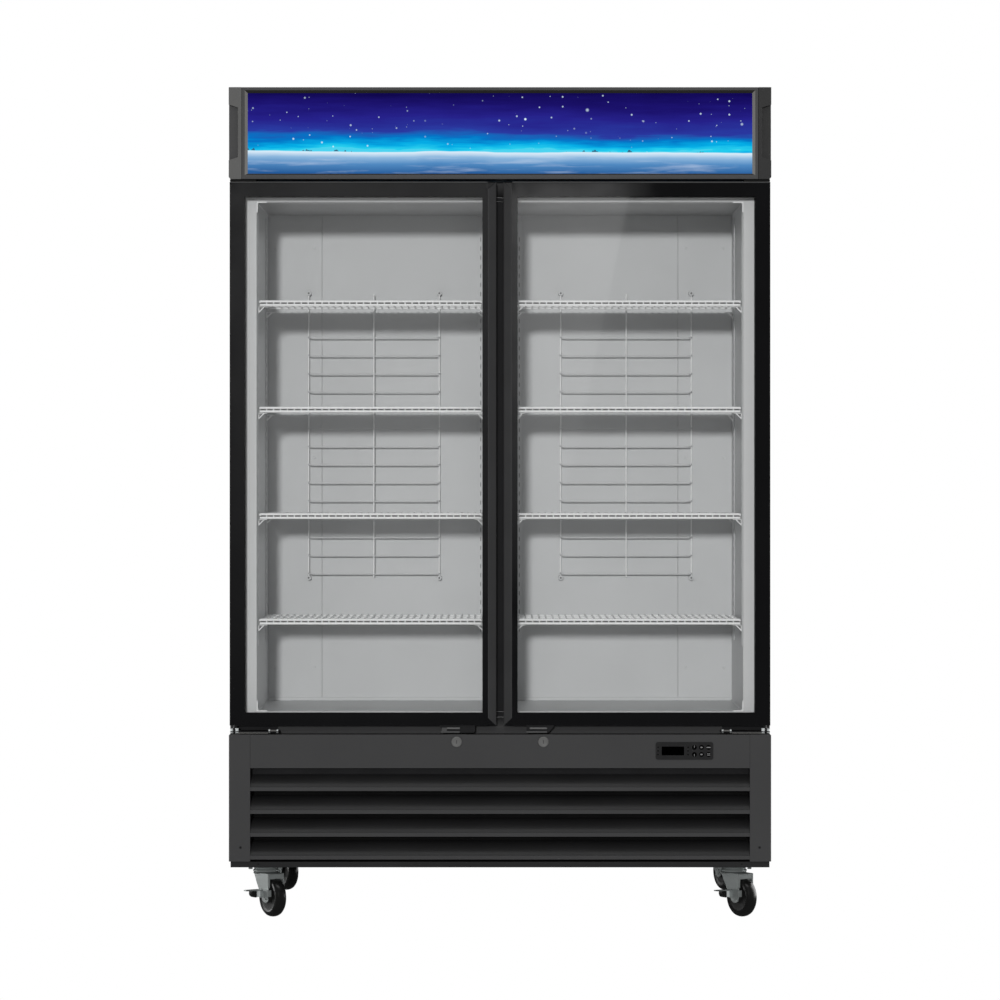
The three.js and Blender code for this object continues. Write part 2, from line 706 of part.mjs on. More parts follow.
add('base_frame', baseFrame(), FINISH.darkCoat);
for (const [place, turn] of Object.entries(CASTER_TURN)) {
  const [row, column] = place.split('_');
  const stem = new THREE.Group();
  stem.position.set(
    column === 'left' ? -CASTER.x : CASTER.x, row === 'front' ? CASTER.front : CASTER.back, 0,
  );
  merchandiser.add(stem);
  add(`caster_plate_${place}`, casterPlate(), FINISH.zinc, stem);
  const swivel = new THREE.Group();
  swivel.rotation.z = THREE.MathUtils.degToRad(turn);
  stem.add(swivel);
  add(`caster_fork_${place}`, casterFork(), FINISH.zinc, swivel);
  add(`caster_wheel_${place}`, casterWheel(), FINISH.wheel, swivel)
    .position.set(0, -CASTER.trail, CASTER.wheelR);
  if (row === 'front') add(`caster_brake_${place}`, casterBrake(), FINISH.zinc, swivel);
}

export default merchandiser;
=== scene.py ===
# %% [markdown]
# # A two-door glass merchandiser
# An upright display refrigerator: a foamed steel cabinet, two glass doors, wire shelves and a sign
# header, on four casters. The frame that is loaded here is the working model, with every hinge and
# slide. Each lesson below puts a finished surface on one part of it.

# %% Load the working model
import json
import math

import bmesh
import bpy
from mathutils import Matrix, Vector


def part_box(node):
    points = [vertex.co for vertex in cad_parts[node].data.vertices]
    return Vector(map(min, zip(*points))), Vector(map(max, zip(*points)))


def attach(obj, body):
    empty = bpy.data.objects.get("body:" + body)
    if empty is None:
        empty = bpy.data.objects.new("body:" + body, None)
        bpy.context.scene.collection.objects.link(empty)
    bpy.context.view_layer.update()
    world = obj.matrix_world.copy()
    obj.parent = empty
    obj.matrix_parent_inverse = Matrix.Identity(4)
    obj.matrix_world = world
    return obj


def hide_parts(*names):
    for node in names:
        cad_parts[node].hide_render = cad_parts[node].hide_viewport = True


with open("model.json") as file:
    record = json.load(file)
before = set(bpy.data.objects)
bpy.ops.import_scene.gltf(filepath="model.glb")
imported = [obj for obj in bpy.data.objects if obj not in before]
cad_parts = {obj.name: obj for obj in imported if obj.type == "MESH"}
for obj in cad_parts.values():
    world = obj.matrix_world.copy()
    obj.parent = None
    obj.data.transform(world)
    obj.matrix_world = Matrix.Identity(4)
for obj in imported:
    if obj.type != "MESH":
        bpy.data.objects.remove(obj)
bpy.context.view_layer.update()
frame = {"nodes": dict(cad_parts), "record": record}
scene = bpy.context.scene
MM = 0.001
SIDES = {"left": -1, "right": 1}
record = frame["record"]
body_of_node = {n: b for b, nodes in record["behaviour"]["bodies"].items() for n in nodes}

# %% [markdown]
# The camera comes first. It stands a little over nine and a half metres in front of the doors at
# chest height with a long lens, so that the sides of the cabinet stay almost square-on.

# %% Camera
camera = bpy.data.objects.new("camera", bpy.data.cameras.new("camera"))
camera.data.lens = 138.2
camera.data.sensor_width = 36
camera.data.shift_y = -0.025
camera.data.clip_end = 100
camera.location = (0, -9.93, 1.105)
camera.rotation_euler = (math.pi / 2, 0, 0)
scene.collection.objects.link(camera)
scene.camera = camera
scene.view_settings.view_transform = "Standard"

# %% [markdown]
# Three small tools make nearly everything. `block` and `rod` add a solid to a bmesh in millimetres,
# and `round_edges` takes the sharpness off, because no folded sheet or moulding has a knife edge.
# The Bevel operator is told everything here, since its own defaults differ from the editor's.

# %% Shapes in a bmesh
def round_edges(bm, edges, width, segments=2):
    bmesh.ops.bevel(
        bm, geom=list(edges), offset=width * MM, offset_type="OFFSET", segments=segments,
        profile=0.5, affect="EDGES", material=-1, clamp_overlap=True,
    )


def block(bm, x, y, z, width=0.0, segments=2, finish=0):
    low = Vector((min(x), min(y), min(z))) * MM
    high = Vector((max(x), max(y), max(z))) * MM
    place = Matrix.Translation((low + high) / 2) @ Matrix.Diagonal((*(high - low), 1))
    verts = bmesh.ops.create_cube(bm, size=1, matrix=place)["verts"]
    for face in {f for v in verts for f in v.link_faces}:
        face.material_index = finish
    if width:
        round_edges(bm, {e for v in verts for e in v.link_edges}, width, segments)


def rod(bm, a, b, r, sides=8, r_end=None, finish=0):
    a, b = Vector(a) * MM, Vector(b) * MM
    turn = (b - a).to_track_quat("Z", "Y").to_matrix().to_4x4()
    verts = bmesh.ops.create_cone(
        bm, cap_ends=True, segments=sides, radius1=r * MM, radius2=(r if r_end is None else r_end) * MM,
        depth=(b - a).length, matrix=Matrix.Translation((a + b) / 2) @ turn,
    )["verts"]
    for face in {f for v in verts for f in v.link_faces}:
        face.material_index = finish


# %% [markdown]
# A part that has bevels of its own is made in its own bmesh and then moved into the piece, so that
# no operator touches a neighbour by mistake. `cut_away` saws along a plane, and `sharp_edges` finds
# the folds that want rounding by the angle between their two faces.

# %% Joining, cutting and finding folds
def add_to(bm, part):
    """Move a finished part into another bmesh."""
    mesh = bpy.data.meshes.new("part")
    part.to_mesh(mesh)
    part.free()
    bm.from_mesh(mesh)
    bpy.data.meshes.remove(mesh)


def cut_away(bm, spot, way, close=True):
    """Remove what lies beyond a plane, and close the cut unless it goes round an opening."""
    cut = bmesh.ops.bisect_plane(
        bm, geom=bm.verts[:] + bm.edges[:] + bm.faces[:], dist=1e-7, clear_outer=True,
        plane_co=Vector(spot) * MM, plane_no=way,
    )
    if close:
        bmesh.ops.holes_fill(bm, edges=[g for g in cut["geom_cut"] if isinstance(g, bmesh.types.BMEdge)])


def sharp_edges(bm, angle):
    return [e for e in bm.edges if len(e.link_faces) == 2 and e.calc_face_angle(0) > math.radians(angle)]


# %% [markdown]
# A finished piece is a mesh that rides on a body of the working model and may stand for one of its
# nodes. Faces are shaded smooth, and edges over 35 degrees stay crisp. A Weighted Normal modifier
# then lets the wide faces lead: without it, the bevels round a pane would bend its whole mirror.

# %% Finished pieces
def piece(name, bm, finishes, body, stands_for=(), crisp=35):
    mesh = bpy.data.meshes.new(name)
    bm.to_mesh(mesh)
    bm.free()
    for finish in finishes if isinstance(finishes, (list, tuple)) else [finishes]:
        mesh.materials.append(finish)
    mesh.shade_smooth()
    mesh.set_sharp_from_angle(angle=math.radians(crisp))
    made = bpy.data.objects.new(name, mesh)
    scene.collection.objects.link(made)
    lead = made.modifiers.new("flat_faces_lead", "WEIGHTED_NORMAL")
    lead.keep_sharp = True
    lead.weight = 100
    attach(made, body)
    if stands_for:
        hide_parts(*stands_for)
    print(name, "faces", len(mesh.polygons))
    return made


# %% [markdown]
# Many pieces start from the working model's own shape. A node's mesh is loose triangles, so a copy
# is merged and its flat faces made whole before any edge can be rounded. The node stays untouched.

# %% Pieces made from a node
def node_mesh(node):
    """A copy of a node's mesh, its loose triangles merged and its flat faces made whole."""
    bm = bmesh.new()
    bm.from_mesh(frame["nodes"][node].data)
    for layer in list(bm.loops.layers.uv):
        bm.loops.layers.uv.remove(layer)
    bmesh.ops.remove_doubles(bm, verts=bm.verts, dist=1e-6)
    bmesh.ops.dissolve_limit(
        bm, angle_limit=math.radians(1), use_dissolve_boundaries=False, verts=bm.verts, edges=bm.edges,
    )
    for face in bm.faces:
        face.material_index = 0
    return bm


def finished(node, finish, width=0.5, segments=2, angle=30, crisp=35):
    """The node's own shape with its edges rounded, riding and finished as the node says."""
    bm = node_mesh(node)
    round_edges(bm, sharp_edges(bm, angle), width, segments)
    return piece(f"{node}_finished", bm, finish, body_of_node[node], [node], crisp)


# %% [markdown]
# A finish is a small tree of shader nodes. These helpers set one up, add a node with its values,
# join two sockets and read noise. Patterns are measured in metres on the object itself, so they
# stay the same size on every piece.

# %% Nodes of a finish
def new_finish(name, colour, roughness, metallic=0.0, coat=0.0, coat_roughness=0.1, specular=0.5):
    material = bpy.data.materials.new(name)
    material.use_nodes = True
    shader = material.node_tree.nodes["Principled BSDF"]
    shader.inputs["Base Color"].default_value = (*colour, 1)
    shader.inputs["Roughness"].default_value = roughness
    shader.inputs["Metallic"].default_value = metallic
    shader.inputs["Coat Weight"].default_value = coat
    shader.inputs["Coat Roughness"].default_value = coat_roughness
    shader.inputs["Specular IOR Level"].default_value = specular
    return material


def node(material, kind, **values):
    made = material.node_tree.nodes.new(kind)
    for key, value in values.items():
        if key in made.inputs:
            made.inputs[key].default_value = value
        else:
            setattr(made, key, value)
    return made


def join(material, source, target):
    material.node_tree.links.new(source, target)


def pattern(material, scale, detail=3, stretch=(1, 1, 1), rough=0.55):
    """Noise on the object's own coordinates, stretched along an axis where the surface is drawn."""
    place = node(material, "ShaderNodeTexCoord")
    mapping = node(material, "ShaderNodeMapping", Scale=stretch)
    noise = node(material, "ShaderNodeTexNoise", Scale=scale, Detail=detail, Roughness=rough)
    join(material, place.outputs["Object"], mapping.inputs["Vector"])
    join(material, mapping.outputs["Vector"], noise.inputs["Vector"])
    return noise.outputs["Fac"]


def spread(material, source, low, high):
    ramp = node(material, "ShaderNodeMapRange")
    for key, value in (("From Min", 0.3), ("From Max", 0.7), ("To Min", low), ("To Max", high)):
        ramp.inputs[key].default_value = value
    join(material, source, ramp.inputs["Value"])
    return ramp.outputs["Result"]


# %% [markdown]
# Nearly every finish has the same three layers: a base colour that drifts a little, a roughness
# that is never quite even, and a fine bump at the scale of the real surface. A flat colour alone
# would look like clean plastic, whatever it stands for.

# %% Layers of a finish
def uneven(material, colour, roughness, drift=0.12, rough_drift=0.06, scale=5, stretch=(1, 1, 1)):
    """Broad drift of colour and roughness."""
    shader = material.node_tree.nodes["Principled BSDF"]
    cloud = pattern(material, scale, 4, stretch)
    mix = node(material, "ShaderNodeMix", data_type="RGBA")
    mix.inputs[6].default_value = (*[c * (1 - drift) for c in colour], 1)
    mix.inputs[7].default_value = (*[min(1, c * (1 + drift)) for c in colour], 1)
    join(material, spread(material, cloud, 0, 1), mix.inputs[0])
    join(material, mix.outputs[2], shader.inputs["Base Color"])
    join(material, spread(material, cloud, roughness - rough_drift, roughness + rough_drift),
         shader.inputs["Roughness"])


def grain(material, scale, height, detail=2, stretch=(1, 1, 1)):
    """Fine relief, height in millimetres."""
    shader = material.node_tree.nodes["Principled BSDF"]
    bump = node(material, "ShaderNodeBump", Strength=0.6, Distance=height * MM)
    join(material, pattern(material, scale, detail, stretch), bump.inputs["Height"])
    join(material, bump.outputs["Normal"], shader.inputs["Normal"])


def surface(name, colour, roughness, scale=5, drift=0.1, relief=(900, 0.04), stretch=(1, 1, 1), **more):
    material = new_finish(name, colour, roughness, **more)
    uneven(material, colour, roughness, drift, scale=scale, stretch=stretch)
    grain(material, relief[0], relief[1], stretch=stretch)
    return material


# %% [markdown]
# The cabinet's finishes. Powder coat has a soft orange-peel relief about a millimetre across, and
# mouldings are finely eroded. Zinc plate is dull, so it is only partly metal and has no relief. The
# printed border of the door glass is the glossiest thing here: black ink behind polished glass.
# Some folds, edges and recesses get lighter or darker copies of a coat: painted highlight where light catches
# them and painted shade where shade falls.

# %% Finishes of the cabinet
charcoal_coat = surface("charcoal_powder_coat", (0.051, 0.051, 0.052), 0.42, 3, 0.04, (700, 0.05))
header_coat = surface("header_satin_coat", (0.066, 0.066, 0.067), 0.40, 4, 0.08, (900, 0.03))
# painted highlight: a lighter copy of the header coat, for edges that catch light
painted_highlight_coat = surface("header_painted_highlight", (0.16, 0.158, 0.152), 0.35, 4, 0.08, (900, 0.03))
header_shade = surface("header_shaded_coat", (0.016, 0.015, 0.014), 0.5, 4, 0.08, (900, 0.03))
white_coat = surface("white_liner_coat", (0.62, 0.625, 0.63), 0.38, 4, 0.03, (500, 0.04))
white_strip = surface("white_breaker_strip", (0.66, 0.662, 0.665), 0.35, 6, 0.02, (400, 0.02))
white_dip = surface("white_dipped_wire", (0.93, 0.93, 0.93), 0.28, 30, 0.02, (300, 0.04), coat=0.4)
black_moulding = surface("black_moulding", (0.016, 0.016, 0.017), 0.45, 12, 0.15, (1600, 0.03))
grip_coat = surface("grip_satin_black", (0.038, 0.038, 0.039), 0.34, 8, 0.1, (1200, 0.02))
black_print = surface("black_glass_print", (0.004, 0.004, 0.0045), 0.08, 6, 0.1, (2, 0.0), specular=0.6)
seal_rubber = surface("seal_rubber", (0.018, 0.018, 0.019), 0.7, 20, 0.2, (2500, 0.05))
zinc_plate = surface("zinc_plate", (0.34, 0.365, 0.36), 0.34, 20, 0.02, (200, 0.0), (1, 1, 3), metallic=0.6)
# painted highlight: a lighter, less metallic copy of the zinc, for faces and studs that catch light
zinc_painted_highlight = surface("zinc_painted_highlight", (0.62, 0.65, 0.65), 0.34, 80, 0.08, (600, 0.01), metallic=0.15)
dull_chrome = surface("lock_satin_nickel", (0.19, 0.19, 0.187), 0.36, 60, 0.1, (2000, 0.02), metallic=0.35)
# painted shade: a darker copy of the charcoal, for the louvre blades and the base frame
painted_shade_coat = surface("charcoal_painted_shade", (0.0215, 0.0215, 0.022), 0.46, 5, 0.1, (900, 0.04))
# painted light and painted shade: a lit and a shaded copy of the end cap coat
cap_painted_light = surface("cap_coat_painted_light", (0.115, 0.115, 0.113), 0.42, 5, 0.06, (900, 0.03))
cap_painted_shade = surface("cap_coat_painted_shade", (0.036, 0.036, 0.036), 0.42, 5, 0.06, (900, 0.03))
# painted highlight: a lighter coat for the kick panel's outer side edges
stile_painted_highlight = surface("stile_edge_painted_highlight", (0.085, 0.085, 0.085), 0.4, 5, 0.05, (900, 0.03))
hinge_coat = surface("hinge_black_coat", (0.006, 0.006, 0.006), 0.4, 20, 0.1, (1500, 0.02))
# painted shade: grey for slots, tube ends, the centre sheets and the strip behind the shelf rails
painted_slot_shade = surface("painted_slot_shade", (0.16, 0.16, 0.16), 0.6, 20, 0.1, (900, 0.02))
# painted shade: near-black for openings, slots and hollows
painted_shade_void = surface("inside_painted_shade", (0.006, 0.006, 0.006), 0.8, 10, 0.2, (800, 0.05))

# %% [markdown]
# Clear glass in a door is thin, so a bent ray would come out where it went in. It is made of
# passing light mixed with a mirror that strengthens towards grazing angles, like real panes.

# %% Clear glass
def clear_glass(name, tint, least):
    material = bpy.data.materials.new(name)
    material.use_nodes = True
    tree = material.node_tree
    tree.nodes.remove(tree.nodes["Principled BSDF"])
    output = tree.nodes["Material Output"]
    through = node(material, "ShaderNodeBsdfTransparent", Color=(*tint, 1))
    mirror = node(material, "ShaderNodeBsdfGlossy", Roughness=0.02)
    facing = node(material, "ShaderNodeLayerWeight", Blend=0.5)
    steep = node(material, "ShaderNodeMath", operation="POWER")
    steep.inputs[1].default_value = 5
    amount = node(material, "ShaderNodeMapRange")
    amount.inputs["To Min"].default_value = least
    amount.inputs["To Max"].default_value = 0.9
    mix = node(material, "ShaderNodeMixShader")
    join(material, facing.outputs["Facing"], steep.inputs[0])
    join(material, steep.outputs[0], amount.inputs["Value"])
    join(material, amount.outputs["Result"], mix.inputs[0])
    join(material, through.outputs[0], mix.inputs[1])
    join(material, mirror.outputs[0], mix.inputs[2])
    join(material, mix.outputs[0], output.inputs["Surface"])
    return material


pane_glass = clear_glass("door_pane_glass", (0.982, 0.985, 0.983), 0.045)
pane_back = clear_glass("door_pane_back", (0.995, 0.996, 0.996), 0.0)

# %% [markdown]
# The casing is a copy of the working model's shape with a radius on its long outside corners, where
# the sheet is folded. The inner liner needs no new shape, so it only gets its finish.

# %% Casing and inner liner
BOX = {"half": 675, "back": 380, "top": 2070}


def dress(name, finish):
    made = frame["nodes"][name]
    made.data.materials.clear()
    made.data.materials.append(finish)


def casing():
    """The casing's own mesh with a folded radius on its long outside corners."""
    bm = node_mesh("cabinet_body")
    outer = []
    for edge in sharp_edges(bm, 60):
        middle = (edge.verts[0].co + edge.verts[1].co) / 2 / MM
        on_side = abs(middle.x) > BOX["half"] - 0.1
        on_back = middle.y > BOX["back"] - 0.1
        on_top = middle.z > BOX["top"] - 0.1
        if on_side + on_back + on_top >= 2:
            outer.append(edge)
    round_edges(bm, outer, 2.5, 3)
    piece("casing", bm, charcoal_coat, "cabinet", ["cabinet_body"])


casing()
dress("inner_liner", white_strip)

# %% [markdown]
# The cavity is lined with separate white sheets, and small coves close the corners along the floor
# and the ceiling. Folded corner pieces cover the four mitres of the flange round the opening. Both
# are blocks, because a bevelled block is all that a folded sheet is at this thickness.

# %% Liner panels and corner pieces
OPENING = {"half": 609, "floor": 513, "ceiling": 1789, "front": -322.8, "duct": 146}


def skin_panels():
    """Liner walls, floor and ceiling as separate folded sheets, a hair inside the liner."""
    bm = bmesh.new()
    half, floor, ceiling = OPENING["half"], OPENING["floor"], OPENING["ceiling"]
    depth = (OPENING["front"] + 5, OPENING["duct"])
    for side in (-1, 1):
        block(bm, (side * half, side * (half - 0.5)), depth, (floor, ceiling), 0.2, 1)
    block(bm, (-half, half), depth, (floor, floor + 0.5), 0.2, 1)
    block(bm, (-half, half), depth, (ceiling - 0.5, ceiling), 0.2, 1)
    for side in (-1, 1):
        for z, up in ((floor, 1), (ceiling, -1)):
            x, height = side * (half - 1.5), z + up * 1.5
            rod(bm, (x, depth[0], height), (x, depth[1], height), 2, 6)
    piece("liner_panels", bm, white_coat, "cabinet")


def corner_pieces():
    bm = bmesh.new()
    y = (OPENING["front"] - 1.2, OPENING["front"] + 14)
    for side in (-1, 1):
        for z, up in ((OPENING["floor"], 1), (OPENING["ceiling"], -1)):
            x = side * OPENING["half"]
            block(bm, (x, x - side * 26), y, (z, z + up * 3), 0.6)
            block(bm, (x, x - side * 3), y, (z, z + up * 27), 0.6)
            block(bm, (x, x - side * 5), (y[0] - 0.3, y[0] + 4), (z, z + up * 5), 0.8)
    piece("liner_corner_pieces", bm, white_dip, "cabinet")


skin_panels()
corner_pieces()

# %% [markdown]
# The duct panel is three folded sheets side by side. Their seams are real gaps with rounded lips,
# so they catch a thin shadow. A lip stands along the floor, and round screw heads hold the sheets.

# %% Rear duct panel
def duct_panel():
    bm = bmesh.new()
    y = OPENING["duct"]
    seam, edge = 467, 608.5
    z = (OPENING["floor"] + 0.5, OPENING["ceiling"] - 0.5)
    for x in ((-edge, -seam - 0.2), (-seam + 0.2, seam - 0.2), (seam + 0.2, edge)):
        block(bm, x, (y, y + 7), z, 0.8, 2)
    block(bm, (-edge, edge), (y - 6, y), (z[0], z[0] + 7.5), 1.0, 2)
    for x in (-588, -487, 487, 588):
        for height in (600, 1150, 1700):
            rod(bm, (x, y - 1.4, height), (x, y + 1, height), 3.2, 16, 4.2)
    piece("duct_panel_finished", bm, white_coat, "cabinet", ["rear_duct_panel"])


duct_panel()

# %% [markdown]
# The mullion is the post between the doors. It keeps its own shape with rounder edges, and gets an
# end plate over the flange above and below, so that no white shows between the doors.

# %% Centre mullion
def mullion():
    bm = node_mesh("centre_mullion")
    round_edges(bm, sharp_edges(bm, 30), 1.5, 3)
    for z in ((1789.3, 1798.5), (499.5, 512.7)):
        block(bm, (-25, 25), (-324.2, -322.9), z, 0.3)
    piece("mullion_finished", bm, black_moulding, "cabinet", ["centre_mullion"])


mullion()

# %% [markdown]
# Header: a frame with a sloping lip round the sign, and two end caps with a tapered grip recess.
# The lip is made by insetting the front face twice, the second time with depth, which leaves the
# clean diagonal line in each corner that a mitred frame has.

# %% Header frame
HEADER = {"half": 642.4, "low": 1841.3, "high": 2069.8, "front": -380, "back": -376.4, "middle": 1900}


def front_of(bm, y):
    """The largest face at a depth."""
    level = [f for f in bm.faces if abs(f.calc_center_median().y - y * MM) < 1e-5]
    return max(level, key=lambda f: f.calc_area())


def lower_edge(face, up):
    """Shift the bottom edge of a face upwards or, with a minus, downwards."""
    low = [v for v in face.verts if v.co.z < HEADER["middle"] * MM]
    return {"vec": Vector((0, 0, up)) * MM, "verts": low}


def header_front():
    """A flat bar ring with a slope round the sign: inset the face, lift its bottom, inset again."""
    bm = bmesh.new()
    half, front, back = HEADER["half"], HEADER["front"], HEADER["back"]
    block(bm, (-half, half), (front, back), (HEADER["low"], HEADER["high"]), 0.8)
    face = front_of(bm, front)
    bmesh.ops.inset_region(bm, faces=[face], thickness=6.6 * MM, use_even_offset=True)
    bmesh.ops.translate(bm, **lower_edge(face, 2.6))
    slope = bmesh.ops.inset_region(
        bm, faces=[face], thickness=7.2 * MM, depth=-3.4 * MM, use_even_offset=True,
    )
    bmesh.ops.translate(bm, **lower_edge(face, -3.6))
    # the side slopes get the lighter coat, a painted highlight, and the top and bottom slopes the darker one,
    # painted shade
    for side_face in slope["faces"]:
        side_face.material_index = 1 if abs(side_face.normal.x) > 0.2 else 2
    bmesh.ops.delete(bm, geom=[face, front_of(bm, back)], context="FACES")
    return bm


def header_frame():
    bm = node_mesh("header_bezel")
    cut_away(bm, (0, HEADER["back"] + 0.05, 0), (0, -1, 0), close=False)
    add_to(bm, header_front())
    piece("header_frame", bm, [header_coat, painted_highlight_coat, header_shade], "cabinet",
          ["header_bezel"])


header_frame()

# %% [markdown]
# Each end cap keeps its own shape. The left cap gets a lighter coat, painted light, and the right one a
# darker coat, painted shade; the walls of their grip recesses have their own coat, so a face is sorted
# by where its middle is.

# %% Header end caps
def in_recess(face):
    spot = face.calc_center_median() / MM
    return abs(spot.x) > 655 and 1880 < spot.z < 2028 and spot.y > -379.2


def end_cap(name, coats):
    node_name = f"header_end_cap_{name}"
    cap = node_mesh(node_name)
    round_edges(cap, sharp_edges(cap, 30), 0.8, 2)
    for face in cap.faces:
        face.material_index = 1 if in_recess(face) else 0
    piece(f"{node_name}_finished", cap, coats, "cabinet", [node_name])


end_cap("left", [cap_painted_light, header_coat])
end_cap("right", [cap_painted_shade, cap_painted_shade])

# %% [markdown]
# The sign is a printed translucent sheet with a lamp behind it, so its finish gives off light. The
# picture is made from noise alone, which has no edges and no resolution, where a picture file has
# both. First come three helpers: one does a sum in the shader, one swings noise about zero, and one
# lays a colour over another.

# %% Sums for the sign's print
SIGN = {"half": 628, "low": 1854.7, "high": 2057.5, "front": -375.6}
sign_finish = new_finish("sign_print", (0.0, 0.0, 0.0), 0.3, specular=0.1)


def maths(operation, a, b=None):
    made = node(sign_finish, "ShaderNodeMath", operation=operation)
    for socket, value in zip(made.inputs, (a, b)):
        if isinstance(value, (int, float)):
            socket.default_value = value
        elif value is not None:
            join(sign_finish, value, socket)
    return made.outputs[0]


def wave(scale, stretch, amount, detail=4):
    shift = node(sign_finish, "ShaderNodeMapRange")
    shift.inputs["To Min"].default_value = -amount
    shift.inputs["To Max"].default_value = amount
    join(sign_finish, pattern(sign_finish, scale, detail, stretch, 0.6), shift.inputs["Value"])
    return shift.outputs["Result"]


def over(base, amount, colour):
    mix = node(sign_finish, "ShaderNodeMix", data_type="RGBA")
    mix.inputs[7].default_value = (*colour, 1)
    join(sign_finish, amount, mix.inputs[0])
    join(sign_finish, base, mix.inputs[6])
    return mix.outputs[2]


# %% [markdown]
# Height on the sign picks a colour from a ramp: snow, then cyan at the horizon, then deeper and
# deeper blue. Slow noise bends the horizon. Stronger noise, stretched along the sign, draws the sky
# out in streaks, and it is kept above the horizon so that the snow stays clean.

# %% Sky and snow
NIGHT = [
    (0.00, (0.016, 0.100, 0.310)), (0.12, (0.080, 0.250, 0.530)), (0.20, (0.270, 0.480, 0.730)),
    (0.262, (0.720, 0.860, 0.960)), (0.275, (0.020, 0.640, 0.860)), (0.33, (0.000, 0.420, 0.790)),
    (0.40, (0.000, 0.170, 0.560)), (0.50, (0.022, 0.040, 0.350)), (0.68, (0.018, 0.014, 0.250)),
    (0.84, (0.010, 0.005, 0.150)), (1.00, (0.004, 0.001, 0.075)),
]
HORIZON = 0.272


def height_on_sign(place):
    split = node(sign_finish, "ShaderNodeSeparateXYZ")
    join(sign_finish, place, split.inputs[0])
    height = node(sign_finish, "ShaderNodeMapRange")
    height.inputs["From Min"].default_value = SIGN["low"] * MM
    height.inputs["From Max"].default_value = SIGN["high"] * MM
    join(sign_finish, split.outputs["Z"], height.inputs["Value"])
    return height.outputs["Result"]


def sky_and_snow(land, in_sky):
    streak = maths("ADD", land, wave(4, (0.7, 1, 7), 0.20))
    level = node(sign_finish, "ShaderNodeMix", data_type="FLOAT")
    join(sign_finish, in_sky, level.inputs[0])
    join(sign_finish, land, level.inputs[2])
    join(sign_finish, maths("MAXIMUM", streak, 0.275), level.inputs[3])
    ramp = node(sign_finish, "ShaderNodeValToRGB")
    stops = ramp.color_ramp.elements
    while len(stops) < len(NIGHT):
        stops.new(0.5)
    for stop, (at, colour) in zip(stops, NIGHT):
        stop.position = at
        stop.color = (*colour, 1)
    join(sign_finish, level.outputs[0], ramp.inputs[0])
    return ramp.outputs["Color"]


# %% [markdown]
# Stars come from three sizes of cell noise. Each cell's own colour decides whether it has a star
# and how big, and slow noise thins them out in places. A low dark line of woods stands along the
# horizon where other noise allows it.

# %% Stars, woods and the sign panel
def stars(flat, scale, size, dim):
    """Round points of light, one to a cell at most."""
    cell = node(sign_finish, "ShaderNodeTexVoronoi", Scale=scale)
    join(sign_finish, flat, cell.inputs["Vector"])
    chance = node(sign_finish, "ShaderNodeSeparateColor")
    join(sign_finish, cell.outputs["Color"], chance.inputs[0])
    reach = maths("MULTIPLY", maths("SUBTRACT", chance.outputs[0], 0.45), size)
    spot = maths("DIVIDE", maths("SUBTRACT", reach, cell.outputs["Distance"]), 0.05)
    return maths("MINIMUM", maths("MAXIMUM", spot, 0), dim)


def starry(place, in_sky):
    flat = node(sign_finish, "ShaderNodeMapping", Scale=(1, 0, 1))
    join(sign_finish, place, flat.inputs["Vector"])
    points = flat.outputs["Vector"]
    fine = maths("ADD", stars(points, 70, 0.36, 0.6), stars(points, 13, 0.18, 1.0))
    sparkle = maths("MULTIPLY", maths("ADD", stars(points, 30, 0.24, 1.0), fine), in_sky)
    thin = maths("MINIMUM", maths("ADD", wave(3, (1, 0, 2), 1.6, 1), 0.7), 1.0)
    return maths("MAXIMUM", maths("MINIMUM", maths("MULTIPLY", sparkle, thin), 1.0), 0.0)


def woods(land, in_sky):
    ridge = maths("ADD", 0.262, maths("MAXIMUM", wave(60, (1, 0, 0.02), 0.11, 2), 0.0))
    wooded = maths("GREATER_THAN", wave(6, (1, 0, 0.02), 0.5, 1), 0.03)
    return maths("MULTIPLY", maths("LESS_THAN", land, ridge), maths("MULTIPLY", wooded, in_sky))


def sign_print():
    place = node(sign_finish, "ShaderNodeTexCoord").outputs["Object"]
    land = maths("ADD", height_on_sign(place), wave(2.2, (1, 1, 0.05), 0.05))
    in_sky = maths("GREATER_THAN", land, HORIZON)
    drift = maths("MULTIPLY", wave(9, (0.6, 0, 9), 0.9, 5), maths("SUBTRACT", 1.0, in_sky))
    lit = over(sky_and_snow(land, in_sky), starry(place, in_sky), (0.75, 0.92, 1.0))
    snowed = over(lit, maths("MAXIMUM", drift, 0.0), (0.62, 0.72, 0.88))
    printed = over(snowed, maths("MULTIPLY", woods(land, in_sky), 0.85), (0.035, 0.06, 0.13))
    shader = sign_finish.node_tree.nodes["Principled BSDF"]
    join(sign_finish, printed, shader.inputs["Emission Color"])
    shader.inputs["Emission Strength"].default_value = 1.0


def sign_panel():
    bm = bmesh.new()
    block(bm, (-SIGN["half"] - 5, SIGN["half"] + 5), (SIGN["front"], SIGN["front"] + 3),
          (SIGN["low"] - 5, SIGN["high"] + 5), 0.4)
    piece("sign_panel", bm, sign_finish, "cabinet", ["header_graphic"])


sign_print()
sign_panel()

# %% [markdown]
# Each door is a moulded ring, an insulated pane, a gasket and a grip. The ring keeps its own shape
# with its edges rounded and a little draft on its inner walls, so that they hide behind the printed
# border. A grey strip runs along its top edge, its light tone partly a painted highlight of the edge
# catching light, and under it hangs the catch for the lock.

# %% Door frames and gaskets
DOOR = {"low": 481.4, "high": 1835, "front": -380}
VIEW = {"near": 43.8, "far": 636, "low": 514, "high": 1798}
catch_strip = surface("catch_strip_coat", (0.115, 0.115, 0.115), 0.35, 20, 0.05, (900, 0.02))


def draft(bm, sign, by=4):
    """Lean the inner walls outwards, away from the glass, in millimetres."""
    for vert in bm.verts:
        x, y, z = vert.co / MM
        if y > -333 and 43 < x * sign < 637 and 513 < z < 1799:
            vert.co.x += sign * (by if x * sign > 300 else -by) * MM
            vert.co.z += (by if z > 1100 else -by) * MM


